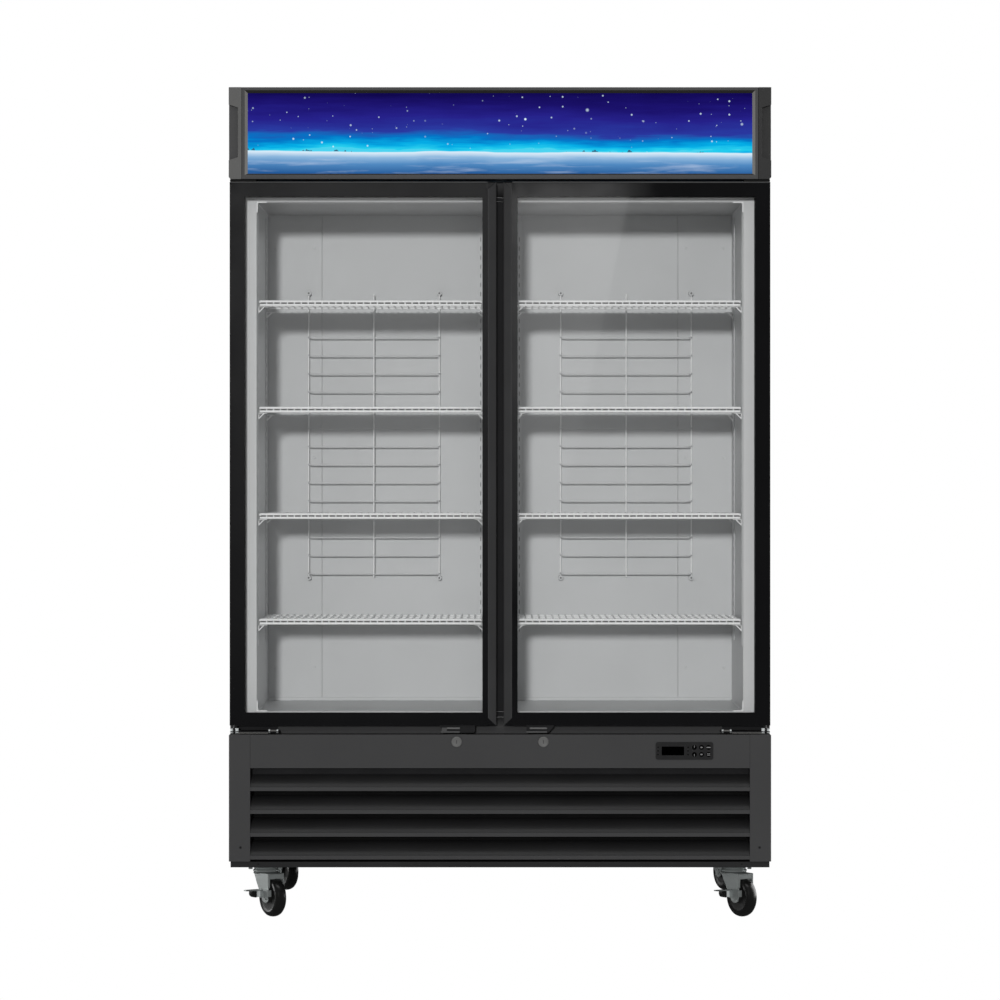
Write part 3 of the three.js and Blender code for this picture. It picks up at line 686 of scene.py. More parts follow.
def door_frames():
    for side, sign in SIDES.items():
        bm = node_mesh(f"door_{side}_frame")
        draft(bm, sign)
        round_edges(bm, sharp_edges(bm, 30), 0.6, 2)
        # the top strip's light grey is partly painted highlight, light caught on the top edge
        block(bm, [sign * v for v in (30.5, 672.6)], (-379.6, -374), (1832.0, 1834.9), 1.0, 2, 1)
        upper, lower = ((100, 132), (100, 147)) if side == "left" else ((74, 117), (66, 117))
        block(bm, [sign * v for v in upper], (-375.2, -371.2), (472.5, 476.8), 0.8, 2, 2)
        block(bm, [sign * v for v in lower], (-375.4, -371.2), (463.0, 467.6), 0.8, 2, 1)
        if side == "left":
            block(bm, (-145, -132), (-375.1, -371.2), (463.6, 476.4), 0.8, 2, 1)
        piece(f"door_{side}_frame_finished", bm, [black_moulding, header_coat, catch_strip],
              f"door_{side}", [f"door_{side}_frame"])
        finished(f"door_{side}_gasket", seal_rubber, 1.2, 2)


door_frames()

# %% [markdown]
# The pane is two sheets of glass. The real spacer between them hides behind the ink, so it is not
# drawn. The front sheet is one block cut along four planes, which leaves a border of ink faces round
# a clear middle. Two small corners reach in beside the slanted ends of the grip.

# %% Door panes
def pane_sheet(bm, sign, y, hole, edge, width, clear, ink):
    """A glass sheet cut into a border and a middle, the border in ink and the middle clear."""
    lows, highs = (edge[0], edge[2]), (edge[1], edge[3])
    block(bm, [sign * v for v in (lows[0], highs[0])], y, (lows[1], highs[1]), width, 2, clear)
    for axis, at in ((0, hole[0]), (0, hole[1]), (2, hole[2]), (2, hole[3])):
        spot = Vector((sign * at if axis == 0 else 0, 0, at if axis == 2 else 0)) * MM
        normal = Vector((1, 0, 0)) if axis == 0 else Vector((0, 0, 1))
        bmesh.ops.bisect_plane(
            bm, geom=bm.verts[:] + bm.edges[:] + bm.faces[:], dist=1e-7, plane_co=spot, plane_no=normal,
        )
    for face in bm.faces:
        middle = face.calc_center_median() / MM
        inside = hole[0] < middle.x * sign < hole[1] and hole[2] < middle.z < hole[3]
        back = middle.y > max(y) - 0.4
        face.material_index = (1 if back else 0) if inside else ink


def door_pane(side):
    sign = SIDES[side]
    hole = (VIEW["near"], VIEW["far"], VIEW["low"], VIEW["high"])
    front = bmesh.new()
    pane_sheet(front, sign, (-379.7, -375.2), hole, (29.5, 671.5, 483, 1831.6), 0.5, 0, 2)
    for z, low, up in ((DOOR["high"], 1808, 1), (DOOR["low"], 483, -1)):
        corner = bmesh.new()
        block(corner, [sign * v for v in (9.6, 29.7)], (-379.7, -375.2), (low, low + 23.6), finish=2)
        cut_away(corner, (sign * 9.5, 0, z), Vector((-sign * 1.0, 0, -up * 1.05)).normalized())
        add_to(front, corner)
    piece(f"door_{side}_front_pane", front, [pane_glass, pane_back, black_print], f"door_{side}",
          [f"door_{side}_glass"])
    rear = bmesh.new()
    block(rear, [sign * v for v in (45.2, 634.8)], (-355.5, -351.6), (515.2, 1796.8), 0.4, 2, 1)
    piece(f"door_{side}_rear_pane", rear, [pane_glass, pane_back], f"door_{side}")


door_pane("left")
door_pane("right")

# %% [markdown]
# The grip is one folded profile the full height of the door. Its ends are cut on a slant, so that
# the glass corner reaches in behind the face, and its outer edge is a soft round for the fingers.

# %% Door grips
def grip(side):
    sign = SIDES[side]
    bm = node_mesh(f"door_{side}_handle")
    round_edges(bm, sharp_edges(bm, 25), 0.5, 2)
    for z, up in ((DOOR["high"], 1), (DOOR["low"], -1)):
        tilt = Vector((sign * 1.0, 0, up * 1.05)).normalized()
        cut = bmesh.ops.bisect_plane(
            bm, geom=bm.verts[:] + bm.edges[:] + bm.faces[:], dist=1e-6, clear_outer=True,
            plane_co=Vector((sign * 9.5, 0, z)) * MM, plane_no=tilt,
        )
        edges = [g for g in cut["geom_cut"] if isinstance(g, bmesh.types.BMEdge)]
        bmesh.ops.contextual_create(bm, geom=edges)
    bmesh.ops.recalc_face_normals(bm, faces=bm.faces)
    piece(f"door_{side}_grip", bm, grip_coat, f"door_{side}", [f"door_{side}_handle"])


grip("left")
grip("right")

# %% [markdown]
# The hinges keep their own shapes with rounder edges. Each bottom hinge also gets two hexagon bolts
# with washers, a strip along its front edge, and the round studs and sleeve that show in the gap under
# the door. The strip, the sleeve, the studs and the rings beside the sleeve are in lighter coats that
# are painted highlight. They are small, but they are what the eye finds when the door stands open.

# %% Hinges
def bolt(bm, at, axis, size, head):
    """A washer and a hexagon head standing along an axis, in millimetres."""
    base, way = Vector(at), Vector(axis)
    washer = 0.9
    rod(bm, base, base + way * washer, size * 1.35, 20)
    rod(bm, base + way * washer, base + way * head, size * 0.92, 6, size * 0.86)


def hinges():
    for side, sign in SIDES.items():
        top = node_mesh(f"top_hinge_{side}")
        round_edges(top, sharp_edges(top, 30), 0.35, 2)
        piece(f"top_hinge_{side}_finished", top, hinge_coat, "cabinet",
              [f"top_hinge_{side}"])
        low = node_mesh(f"bottom_hinge_{side}")
        round_edges(low, sharp_edges(low, 30), 0.35, 2)
        for x in (590, 625):
            bolt(low, (sign * x, -345, 463), (0, 0, 1), 4.5, 3.0)
        # painted highlight: the front strip and the sleeve take the lighter header coat, the studs and rings
        # the lighter zinc
        block(low, [sign * v for v in (577, 654)], (-371.4, -369.6), (461.4, 463.8), 0.5, finish=2)
        rod(low, (sign * 655, -369, 462.5), (sign * 655, -369, 474.5), 4.2, 20, finish=1)
        rod(low, (sign * 668.4, -369, 462.5), (sign * 668.4, -369, 473.5), 3.8, 20, 2.8, finish=1)
        rod(low, (sign * 556, -366, 467), (sign * 574, -366, 467), 3.2, 20, finish=2)
        for x in (552.5, 572.5):
            rod(low, (sign * x, -366, 467), (sign * (x + 4), -366, 467), 4.6, 20, finish=1)
        piece(f"bottom_hinge_{side}_finished", low, [black_moulding, zinc_painted_highlight, painted_highlight_coat], "cabinet",
              [f"bottom_hinge_{side}"])


hinges()

# %% [markdown]
# A wire shelf is a comb: thin wires side by side that run to the front and turn down there between
# two thicker rails. Each wire is a rod of eight sides, which is plenty at this size, and the white
# plastic dip hides every weld.

# %% Wire shelves
SHELF = {"near": 47, "far": 603, "front": -297, "back": 52, "pitch": 17.4}


def wire_shelf(side, number):
    sign, node_name = SIDES[side], f"shelf_{side}_{number}"
    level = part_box(node_name)[0][2] / MM + 7.5
    near, far, front, back = (SHELF[key] for key in ("near", "far", "front", "back"))
    bm = bmesh.new()
    for z, r in ((level + 4.6, 2.9), (level - 4.5, 3.0)):
        rod(bm, (sign * near, front, z), (sign * far, front, z), r, 12)
    count = round((far - near) / SHELF["pitch"])
    for i in range(1, count):
        x = sign * (near + (far - near) * i / count)
        rod(bm, (x, front, level + 5.5), (x, back, level + 5.5), 2.0)
        rod(bm, (x, front + 0.6, level + 5), (x, front + 0.6, level - 5), 1.7)
    # a grey strip behind the gap between the rails: painted shade of the deck seen through it
    block(bm, (sign * near, sign * far), (front + 3.4, front + 3.9), (level - 3, level + 3), finish=1)
    for y in (-190, -70, back):
        rod(bm, (sign * near, y, level + 2.4), (sign * far, y, level + 2.4), 2.3)
    for x in (near + 1, far - 1):
        rod(bm, (sign * x, front, level + 3.2), (sign * x, back, level + 3.2), 2.7, 10)
    piece(f"{node_name}_wires", bm, [white_dip, painted_slot_shade], "cabinet", [node_name])
    return level


shelf_levels = {(side, n): wire_shelf(side, n) for side in SIDES for n in range(1, 5)}
print("shelf levels", sorted({round(level) for level in shelf_levels.values()}))

# %% [markdown]
# Every shelf sits on four clips. A clip is a bent strip that hooks into a slotted upright: a small
# ledge under the shelf, a back plate on the upright, and two thin braces at 45 degrees between them.

# %% Shelf clips
def shelf_clips():
    bm = bmesh.new()
    for (side, _), level in shelf_levels.items():
        sign = SIDES[side]
        for wall, way in ((606.3, -1), (42.6, 1)):
            for y in ((-292, -280), (34, 46)):
                x0, x1 = sign * wall, sign * (wall + way * 21)
                block(bm, (x0, x1), y, (level - 9.6, level - 8.2), 0.4, 1)
                block(bm, (x0, sign * (wall + way * 1.6)), y, (level - 24, level - 8.2), 0.4, 1)
                middle = sum(y) / 2
                for shift in (-4, 4):
                    rod(bm, (sign * (wall + way * 0.8), middle + shift, level - 22),
                        (sign * (wall + way * 13), middle + shift, level - 9.8), 1.4, 8)
    piece("shelf_clips", bm, white_dip, "cabinet")


shelf_clips()

# %% [markdown]
# The uprights are flat strips with a slot every 23.8 mm. The slots are dark plates a hair proud of
# the metal, painted shade where the holes would be; cutting more than four hundred real slots would
# add nothing that can be seen.

# %% Slotted uprights
def uprights():
    bm = bmesh.new()
    z, pitch = (676, 1772), 23.8

    def slots(x, y, across):
        for i in range(int((z[1] - z[0] - 30) / pitch)):
            low = z[0] + 18 + i * pitch
            if across == "x":
                block(bm, (x - 0.9, x + 0.9), (y - 0.2, y + 0.3), (low, low + 11), finish=1)
            else:
                block(bm, (x - 0.25, x + 0.25), (y - 1.3, y + 1.3), (low, low + 11), finish=1)

    for sign in SIDES.values():
        for y in (-286, 40):
            block(bm, (sign * 608.8, sign * 606.4), (y - 12, y + 12), z, 0.8)
            slots(sign * 606.4, y, "y")
        block(bm, (sign * 44.5, sign * 58.5), (142.5, 146), z, 0.8)
        slots(sign * 50.5, 142.5, "x")
        for y in (-286, 40):
            block(bm, (sign * 38.4, sign * 40.4), (y - 12, y + 12), (514, 1788), 0.6)
            slots(sign * 40.4, y, "y")
    # grey sheets between the centre pilasters are painted shade
    for y in (-286, 40):
        block(bm, (-38.4, 38.4), (y - 1, y + 1), (514, 1788), 0.4, 1)
    piece("slotted_uprights", bm, [white_coat, painted_slot_shade], "cabinet")


uprights()

# %% [markdown]
# The rear guard keeps goods off the air panel. Its bars turn back to the wall at both ends, so each
# is drawn as a path: a curve with a round section, turned into a mesh and added to the others. One
# place in the row has no bar.

# %% Rear guards
def path_into(bm, points, r, sides=8):
    """Add a round bar along a path of points, in millimetres."""
    curve = bpy.data.curves.new("path", "CURVE")
    curve.dimensions = "3D"
    curve.bevel_depth = r * MM
    curve.bevel_resolution = max(0, sides // 4 - 1)
    curve.use_fill_caps = True
    spline = curve.splines.new("POLY")
    spline.points.add(len(points) - 1)
    for spot, point in zip(spline.points, points):
        spot.co = (*(Vector(point) * MM), 1)
    holder = bpy.data.objects.new("path", curve)
    mesh = bpy.data.meshes.new_from_object(holder)
    bm.from_mesh(mesh)
    bpy.data.objects.remove(holder)
    bpy.data.curves.remove(curve)
    bpy.data.meshes.remove(mesh)


GUARD = {"near": 163.5, "far": 496.5, "low": 845.6, "pitch": 47.55, "bars": 16, "skipped": 14,
         "y": 110, "wall": 145}


def rear_guard(side):
    sign = SIDES[side]
    near, far, y, wall = GUARD["near"], GUARD["far"], GUARD["y"], GUARD["wall"]
    bm = bmesh.new()
    for i in range(GUARD["bars"]):
        z = GUARD["low"] + GUARD["pitch"] * i
        if i == GUARD["skipped"]:
            continue
        bend = [(6, wall - 12, z + 3), (4, y + 7, z + 1.5), (-2, y + 1, z), (-9, y, z)]
        points = [(near - out, py, pz) for out, py, pz in bend]
        points += [(far + out, py, pz) for out, py, pz in reversed(bend)]
        path_into(bm, [(sign * px, py, pz) for px, py, pz in points], 1.8)
    top = GUARD["low"] + GUARD["pitch"] * (GUARD["bars"] - 1)
    # the uprights take the brighter white, a painted highlight; the bars keep the liner white
    for x, at in ((near - 4.5, y + 16), (330, y + 3.6), (far + 4.5, y + 16)):
        rod(bm, (sign * x, at, GUARD["low"] - 8), (sign * x, at, top + 20), 1.7, finish=2)
    for x in (near - 4.5, far + 4.5):
        for z in (GUARD["low"] - 10, top + 22):
            block(bm, (sign * (x - 4), sign * (x + 4)), (y + 12, wall), (z - 6, z + 6), 1.2)
            rod(bm, (sign * x, y + 10.6, z), (sign * x, wall, z), 6.0, 20, 7.0)
            # a grey disc in each tube end is painted shade of its hollow
            rod(bm, (sign * x, y + 10, z), (sign * x, y + 11, z), 2.6, 6, finish=1)
    piece(f"rear_guard_{side}_wires", bm, [white_coat, painted_slot_shade, white_dip], "cabinet",
          [f"rear_guard_{side}"])


rear_guard("left")
rear_guard("right")

# %% [markdown]
# The louvre blades of the kick panel are curved sheets. Each is a chain of points drawn out along X
# and then given its thickness. The curve climbs steeply at first and flattens as it goes in, and
# the flatter it lies, the darker it looks.

# %% Louvre blades
KICK = {"front": -377, "sheet": 1.5, "low": 142.8, "high": 459, "opening": 621.5, "top": 375.4}


def swept_sheet(bm, x, path, thick, finish=0):
    """A folded sheet: a chain of (y, z) points drawn out along X and given its thickness."""
    part = bmesh.new()
    verts = [part.verts.new(Vector((x[0], py, pz)) * MM) for py, pz in path]
    edges = [part.edges.new(pair) for pair in zip(verts, verts[1:])]
    grown = bmesh.ops.extrude_edge_only(part, edges=edges)["geom"]
    far = [g for g in grown if isinstance(g, bmesh.types.BMVert)]
    bmesh.ops.translate(part, vec=Vector((x[1] - x[0], 0, 0)) * MM, verts=far)
    bmesh.ops.recalc_face_normals(part, faces=part.faces)
    bmesh.ops.solidify(part, geom=part.faces[:], thickness=thick * MM)
    bmesh.ops.recalc_face_normals(part, faces=part.faces)
    for face in part.faces:
        face.material_index = finish
    add_to(bm, part)


def scoop(low, front, steps=10):
    """A blade from the side, as (y, z) points from the top of its lip to its inner end."""
    depth, rise = 66, 33
    path = []
    for i in range(steps + 1):
        t = i / steps
        path.append((front + 0.7 + depth * t ** 1.35, low + 9 + rise * (1 - (1 - t) ** 1.7)))
    return path


# %% [markdown]
# The kick panel has a top rail with the holes for the locks and the controller, two stiles, and
# four blades, each with an upright lip. The rail is what two upright cuts and a level one leave of
# the working model's panel. The blades wear a darker copy of the coat, painted shade. A dark plate
# above them and a near-black sheet behind them close the view into the machine space, both painted
# shade, and the stiles' outer side edges wear a lighter coat, a painted highlight.

# %% Kick panel
def stile(bm, sign, front, back):
    """The upright strip beside the blades, with its folded returns and one screw."""
    low, high = KICK["low"], KICK["high"]
    block(bm, [sign * v for v in (KICK["opening"] + 0.4, 672.7)], (front, back), (low, high), 0.7)
    # the side return wears the lighter coat, a painted highlight; the screw's dark centre is painted shade
    block(bm, [sign * v for v in (672.5, 674.9)], (front + 0.3, -322.4), (low, high - 1), 1.1, 3, 4)
    block(bm, [sign * v for v in (621.4, 623.4)], (front + 0.8, -305), (143.4, 383), 0.3, finish=1)
    block(bm, [sign * v for v in (617, 626)], (back + 0.1, back + 0.9), (378, high - 2), finish=1)
    rod(bm, (sign * 646, front - 0.3, 178), (sign * 646, front + 0.4, 178), 3.4, 16, finish=1)
    rod(bm, (sign * 646, front - 0.45, 178), (sign * 646, front - 0.2, 178), 1.5, 6, finish=2)


def kick_panel():
    front, back = KICK["front"], KICK["front"] + KICK["sheet"]
    bm = node_mesh("front_grille")
    cut_away(bm, (0, 0, KICK["top"] + 0.1), (0, 0, -1))
    cut_away(bm, (-KICK["opening"], 0, 0), (-1, 0, 0))
    cut_away(bm, (KICK["opening"], 0, 0), (1, 0, 0))
    for sign in (-1, 1):
        stile(bm, sign, front, back)
    wide = (-KICK["opening"] - 0.2, KICK["opening"] + 0.2)
    for i in range(4):
        low = 148 + i * 56.8
        block(bm, wide, (front, back), (low, low + 9.3), 0.4)
        # the blades wear the darker coat: painted shade
        swept_sheet(bm, wide, scoop(low, front), 1.0, 3)
    # painted shade: a black plate above the blades and a near-black sheet behind them
    block(bm, wide, (-332, -330.5), (353, 384), 0.4, finish=1)
    block(bm, wide, (-306, -305), (143.4, 384), finish=2)
    coats = [charcoal_coat, black_moulding, painted_shade_void, painted_shade_coat, stile_painted_highlight]
    piece("kick_panel", bm, coats, "cabinet", ["front_grille"])


kick_panel()

# %% [markdown]
# A grey cover panel hangs under the roof of the cavity on each side of the centre. Its grey is
# painted shade: darker than the liner, it gives the ceiling the tone of the shade that the eye meets
# above the top shelf. It is a piece and not a tint.

# %% Ceiling panel
# painted shade: a darker grey than the liner for the cavity's roof
ceiling_painted_shade = surface("ceiling_painted_shade_coat", (0.38, 0.382, 0.385), 0.4, 4, 0.03, (500, 0.04))


def ceiling_panel():
    bm = bmesh.new()
    for sign in (-1, 1):
        block(bm, [sign * v for v in (44, 607)], (-316, 144), (1786.2, 1788.6), 0.5, 2)
    piece("ceiling_panel", bm, ceiling_painted_shade, "cabinet")


ceiling_panel()

# %% [markdown]
# Two shapes for the controller. A flat ring is a circle whose face is inset and taken out, and then
# extruded. A rounded plate is a block with its four front-to-back edges bevelled. Both face
# the front as they are made.

# %% Rings and rounded plates
def ring(bm, x, z, outer, inner, y, depth, finish=0):
    turn = Matrix.Translation(Vector((x, y, z)) * MM) @ Matrix.Rotation(math.pi / 2, 4, "X")
    verts = bmesh.ops.create_circle(bm, cap_ends=True, segments=28, radius=outer * MM, matrix=turn)["verts"]
    face = next(iter(verts[0].link_faces))
    rim = bmesh.ops.inset_region(
        bm, faces=[face], thickness=(outer - inner) * MM, use_even_offset=True,
    )["faces"]
    bmesh.ops.delete(bm, geom=[face], context="FACES")
    for made in rim:
        made.material_index = finish
    grown = bmesh.ops.extrude_face_region(bm, geom=rim)["geom"]
    back = [g for g in grown if isinstance(g, bmesh.types.BMVert)]
    bmesh.ops.translate(bm, vec=Vector((0, depth, 0)) * MM, verts=back)


def rounded_plate(bm, x, y, z, radius, finish=0):
    part = bmesh.new()
    block(part, x, y, z, finish=finish)
    corners = [e for e in part.edges if abs((e.verts[0].co - e.verts[1].co).y) > 1e-5]
    bmesh.ops.bevel(part, geom=corners, offset=radius * MM, offset_type="OFFSET", segments=6, profile=0.5,
                    affect="EDGES", material=-1)
    add_to(bm, part)


# %% [markdown]
# The controller is a rounded plate with a dark display window and two columns of indicator lamps.
# The lamps are off, so they are small dark discs. The plate stands in front of the working model's
# housing, whose face is cut back to make room.

# %% Controller
display_glass = new_finish("display_window", (0.0, 0.0, 0.0), 0.2, specular=0.05)
keypad_face = surface("keypad_moulding", (0.0185, 0.0185, 0.019), 0.5, 40, 0.1, (2200, 0.02))
lamp_off = new_finish("indicator_lamp", (0.004, 0.004, 0.004), 0.2)


def controller():
    bm = node_mesh("controller_housing")
    cut_away(bm, (0, -377.2, 0), (0, -1, 0))
    rounded_plate(bm, (387.3, 530.7), (-378.9, -377.15), (396.5, 440.5), 6)
    rounded_plate(bm, (402.3, 458), (-379.15, -378.6), (407.6, 429.4), 1.2, 1)
    for x in (393.2, 468):
        for z in (427.5, 418.5, 409.5):
            rod(bm, (x, -379.2, z), (x, -378.7, z), 1.9, 16, finish=2)
    bmesh.ops.recalc_face_normals(bm, faces=bm.faces)
    piece("controller_finished", bm, [keypad_face, display_glass, lamp_off], "cabinet",
          ["controller_housing"])


controller()

# %% [markdown]
# Six round keys stand on the plate in two rows. Each rides on its own body, because it can be
# pressed. The marks are plain shapes that lie a fraction of a millimetre above the key.

# %% Keys
key_black = surface("key_black", (0.001, 0.001, 0.001), 0.6, 60, 0.1, (2600, 0.01), specular=0.1)
key_mark = surface("key_mark", (0.2, 0.2, 0.2), 0.5, 60, 0.05, (2600, 0.01))
KEYS = {"up": (483.6, 427.3), "set": (501.3, 427.3), "power": (519, 427.3),
        "down": (483.6, 409.7), "defrost": (501.3, 409.7), "light": (519, 409.7)}
MARK_FRONT, MARK_DEPTH = -379.72, 0.5


def key_symbol(bm, name, x, z):
    y = (MARK_FRONT, MARK_FRONT + MARK_DEPTH)
    if name in ("up", "down"):
        way = 1 if name == "up" else -1
        ring(bm, x, z, 4.6, 3.3, MARK_FRONT, MARK_DEPTH, 1)
        block(bm, (x - 0.65, x + 0.65), y, (z - way * 1.2, z + way * 4.9), finish=1)
    elif name in ("set", "defrost"):
        rounded_plate(bm, (x - 2.8, x + 2.8), y, (z - 1.7, z + 1.7), 1.6, 1)
    elif name == "power":
        rounded_plate(bm, (x - 5.2, x + 5.2), y, (z - 1.3, z + 1.3), 1.2, 1)
    else:
        for shift in (-1.6, 1.6):
            block(bm, (x - 4.0, x + 4.0), y, (z + shift - 0.7, z + shift + 0.7), finish=1)


def key_caps():
    for name, (x, z) in KEYS.items():
        bm = bmesh.new()
        rod(bm, (x, -379.45, z), (x, -376, z), 6.0, 32)
        round_edges(bm, [e for e in sharp_edges(bm, 60) if e.verts[0].co.y < -0.379], 0.25)
        key_symbol(bm, name, x, z)
        bmesh.ops.recalc_face_normals(bm, faces=bm.faces)
        piece(f"key_{name}_cap", bm, [key_black, key_mark], f"key_{name}", [f"key_{name}"])


key_caps()

# %% [markdown]
# Locks: a turned barrel with a rolled rim, and a keyway, which is a thin dark plate on the barrel's
# dished face. Both turn together, and so does the flat cam behind the panel. `lathe` spins half a
# section round an axis, as a real lathe would, and the same tool makes races, wheels and pots later.

# %% Locks
LOCK = {"x": 108, "z": 441, "front": -379.5}


def lathe(bm, profile, place, steps=48, finish=0):
    """Spin a profile of (radius, height) round Z and set it in place."""
    part = bmesh.new()
    verts = [part.verts.new((r * MM, 0, h * MM)) for r, h in profile]
    edges = [part.edges.new(pair) for pair in zip(verts, verts[1:])]
    bmesh.ops.spin(part, geom=verts + edges, cent=(0, 0, 0), axis=(0, 0, 1), angle=math.tau, steps=steps,
                   use_merge=True)
    bmesh.ops.remove_doubles(part, verts=part.verts, dist=1e-6)
    bmesh.ops.transform(part, matrix=place, verts=part.verts)
    bmesh.ops.recalc_face_normals(part, faces=part.faces)
    for face in part.faces:
        face.material_index = finish
    add_to(bm, part)


def key_lock(side):
    centre = SIDES[side] * LOCK["x"]
    bm = node_mesh(f"lock_{side}")
    cut_away(bm, (0, -377.3, 0), (0, -1, 0))
    spot = Matrix.Translation(Vector((centre, LOCK["front"], LOCK["z"])) * MM)
    barrel = [(0, -0.5), (9.0, -0.5), (9.4, -0.1), (10.2, 0), (12.2, -0.2), (13, -1.0), (13, -2.3), (0, -2.3)]
    lathe(bm, barrel, spot @ Matrix.Rotation(math.pi / 2, 4, "X"))
    # the keyway plate is painted shade: its dark stands for the hollow of the slot
    block(bm, (centre - 0.9, centre + 0.9), (LOCK["front"] + 0.42, LOCK["front"] + 0.6),
          (LOCK["z"] - 4.4, LOCK["z"] + 4.4), finish=1)
    piece(f"lock_{side}_finished", bm, [dull_chrome, grip_coat], f"lock_{side}",
          [f"lock_{side}"])


key_lock("left")
key_lock("right")

# %% [markdown]
# Casters. The positions come from the working model's joints: the swivel gives the stem, and the
# wheel's own axis gives the angle. The fork, the wheel and the brake are drawn round the stem and
# then turned into place, so that one drawing serves all four corners.

# %% Caster placing
joints = {joint["name"]: joint for joint in record["behaviour"]["joints"]}
PLACES = ("front_left", "front_right", "back_left", "back_right")
TRAIL, AXLE = 33, 50


def caster_place(place):
    stem = joints[f"swivel_{place}"]["pos_m"]
    axis = joints[f"wheel_{place}"]["axis"]
    return Matrix.Translation((stem[0], stem[1], 0)) @ Matrix.Rotation(math.atan2(axis[1], axis[0]), 4, "Z")


tyre_rubber = surface("tyre_rubber", (0.007, 0.007, 0.007), 0.3, 60, 0.15, (900, 0.02), coat=0.3)
wheel_core = surface("wheel_core", (0.010, 0.010, 0.010), 0.42, 60, 0.15, (1200, 0.02))

# %% [markdown]
# The top plate is fixed to the cabinet by four bolts, so it does not turn with the rest. Its upright
# corners get a wide bevel and its flat edges none, like a plate cut from strip.

# %% Caster plates
def caster_plate(place):
    stem = joints[f"swivel_{place}"]["pos_m"]
    x, y = stem[0] / MM, stem[1] / MM
    bm = bmesh.new()
    part = bmesh.new()
    block(part, (x - 46.8, x + 46.8), (y - 41.8, y + 41.8), (124.8, 127.6))
    upright = [e for e in part.edges if abs((e.verts[0].co - e.verts[1].co).z) > 1e-5]
    bmesh.ops.bevel(part, geom=upright, offset=7 * MM, offset_type="OFFSET", segments=5, profile=0.5,
                    affect="EDGES", material=-1)
    add_to(bm, part)
    for dx in (-37, 37):
        for dy in (-31, 31):
            bolt(bm, (x + dx, y + dy, 124.8), (0, 0, -1), 6.5, 5.5)
    piece(f"caster_plate_{place}_finished", bm, zinc_plate, "cabinet",
          [f"caster_plate_{place}"])


# %% [markdown]
# Under the plate turns the fork: two rolled ball races, a pressed crown and two legs. The crown is
# folded down in front of the wheel like a hood, and the cheeks beside it have their front edge
# folded too. The races are one lathed profile, and the rest are blocks with chosen edges bevelled.

# %% Caster forks
RACES = [(0, 124.2), (27, 124.2), (30.6, 122.6), (31.4, 120.6), (30, 118.8), (27.5, 118.2), (27.5, 117.4),
         (31, 116.6), (32.6, 114.6), (32.6, 112.4), (31, 110.2), (27, 108.8), (0, 108.8)]
CROWN_TOP = 109.2


def hood():
    """The pressed crown, its upper edges rounded."""
    part = bmesh.new()
    block(part, (-22, 22), (-51.5, 26), (104.4, CROWN_TOP))
    lip = [e for e in part.edges if all(v.co.z > (CROWN_TOP - 0.2) * MM for v in e.verts)]
    round_edges(part, lip, 3, 4)
    return part


def cheek(way):
    """The side wall of the fork in front of its leg, with a round fold at its front edge."""
    part = bmesh.new()
    block(part, (way * 18.4, way * 23.2), (-51.8, -10), (74, 108.5))
    fold = [e for e in part.edges if all(v.co.y < -0.05 and abs(v.co.x) > 0.022 for v in e.verts)]
    round_edges(part, fold, 3.0, 5)
    return part


def caster_fork(place):
    bm = node_mesh(f"caster_fork_{place}")
    cut_away(bm, (0, 0, 108.6), (0, 0, 1))
    round_edges(bm, sharp_edges(bm, 40), 0.6, 2)
    part = bmesh.new()
    lathe(part, RACES, Matrix(), 56)
    add_to(part, hood())
    block(part, (-22, 22), (-51.8, -49.6), (95, 107), 1.0, 3)
    for way in (-1, 1):
        add_to(part, cheek(way))
        rod(part, (way * 22, -TRAIL, AXLE), (way * 24.2, -TRAIL, AXLE), 8.0, 6)
    rod(part, (-11, -52.1, 101), (-11, -51.2, 101), 2.6, 20)
    bmesh.ops.transform(part, matrix=caster_place(place), verts=part.verts)
    add_to(bm, part)
    node_name = f"caster_fork_{place}"
    piece(f"{node_name}_finished", bm, zinc_plate, body_of_node[node_name], [node_name])


# %% [markdown]
# A wheel is two profiles spun round its axle, one for the tyre and one for the core. The tread is a
# full round, so that the caster can turn on the spot, and the core is dished between its rim and hub.

# %% Caster wheels
TYRE = [(37.5, -15.6), (41, -15.4), (44.6, -13.6), (47.4, -10.6), (49.2, -6.4), (49.9, -2.2), (49.9, 2.2),
        (49.2, 6.4), (47.4, 10.6), (44.6, 13.6), (41, 15.4), (37.5, 15.6), (37.5, -15.6)]
CORE = [(5.6, -18.3), (12.6, -18.3), (13.8, -17), (15.4, -13.4), (32, -12.2), (35, -13.6),
        (37.8, -15.2), (37.8, 15.2), (35, 13.6), (32, 12.2), (15.4, 13.4), (13.8, 17),
        (12.6, 18.3), (5.6, 18.3), (5.6, -18.3)]


def caster_wheel(place):
    axle = Matrix.Translation(Vector((0, -TRAIL, AXLE)) * MM) @ Matrix.Rotation(math.pi / 2, 4, "Y")
    bm = bmesh.new()
    lathe(bm, TYRE, caster_place(place) @ axle, 72, 0)
    lathe(bm, CORE, caster_place(place) @ axle, 72, 1)
    piece(f"caster_wheel_{place}_finished", bm, [tyre_rubber, wheel_core], f"wheel_{place}",
          [f"caster_wheel_{place}"], 30)


# %% [markdown]
# The brake is an angle on the left leg with a pedal that tapers to its tip, and a curved rubber
# block below the pedal. Only the front casters have one. The pedal's end is drawn in by scaling its
# outer corners towards a line, before its edges are rounded.

# %% Brakes
def pedal(middle=-0.023, taper=0.72):
    part = bmesh.new()
    block(part, (-73.8, -27), (-33.5, -12.5), (66.6, 69))
    for vert in part.verts:
        if vert.co.x < -0.07:
            vert.co.y = middle + (vert.co.y - middle) * taper
    round_edges(part, part.edges[:], 0.9, 2)
    return part


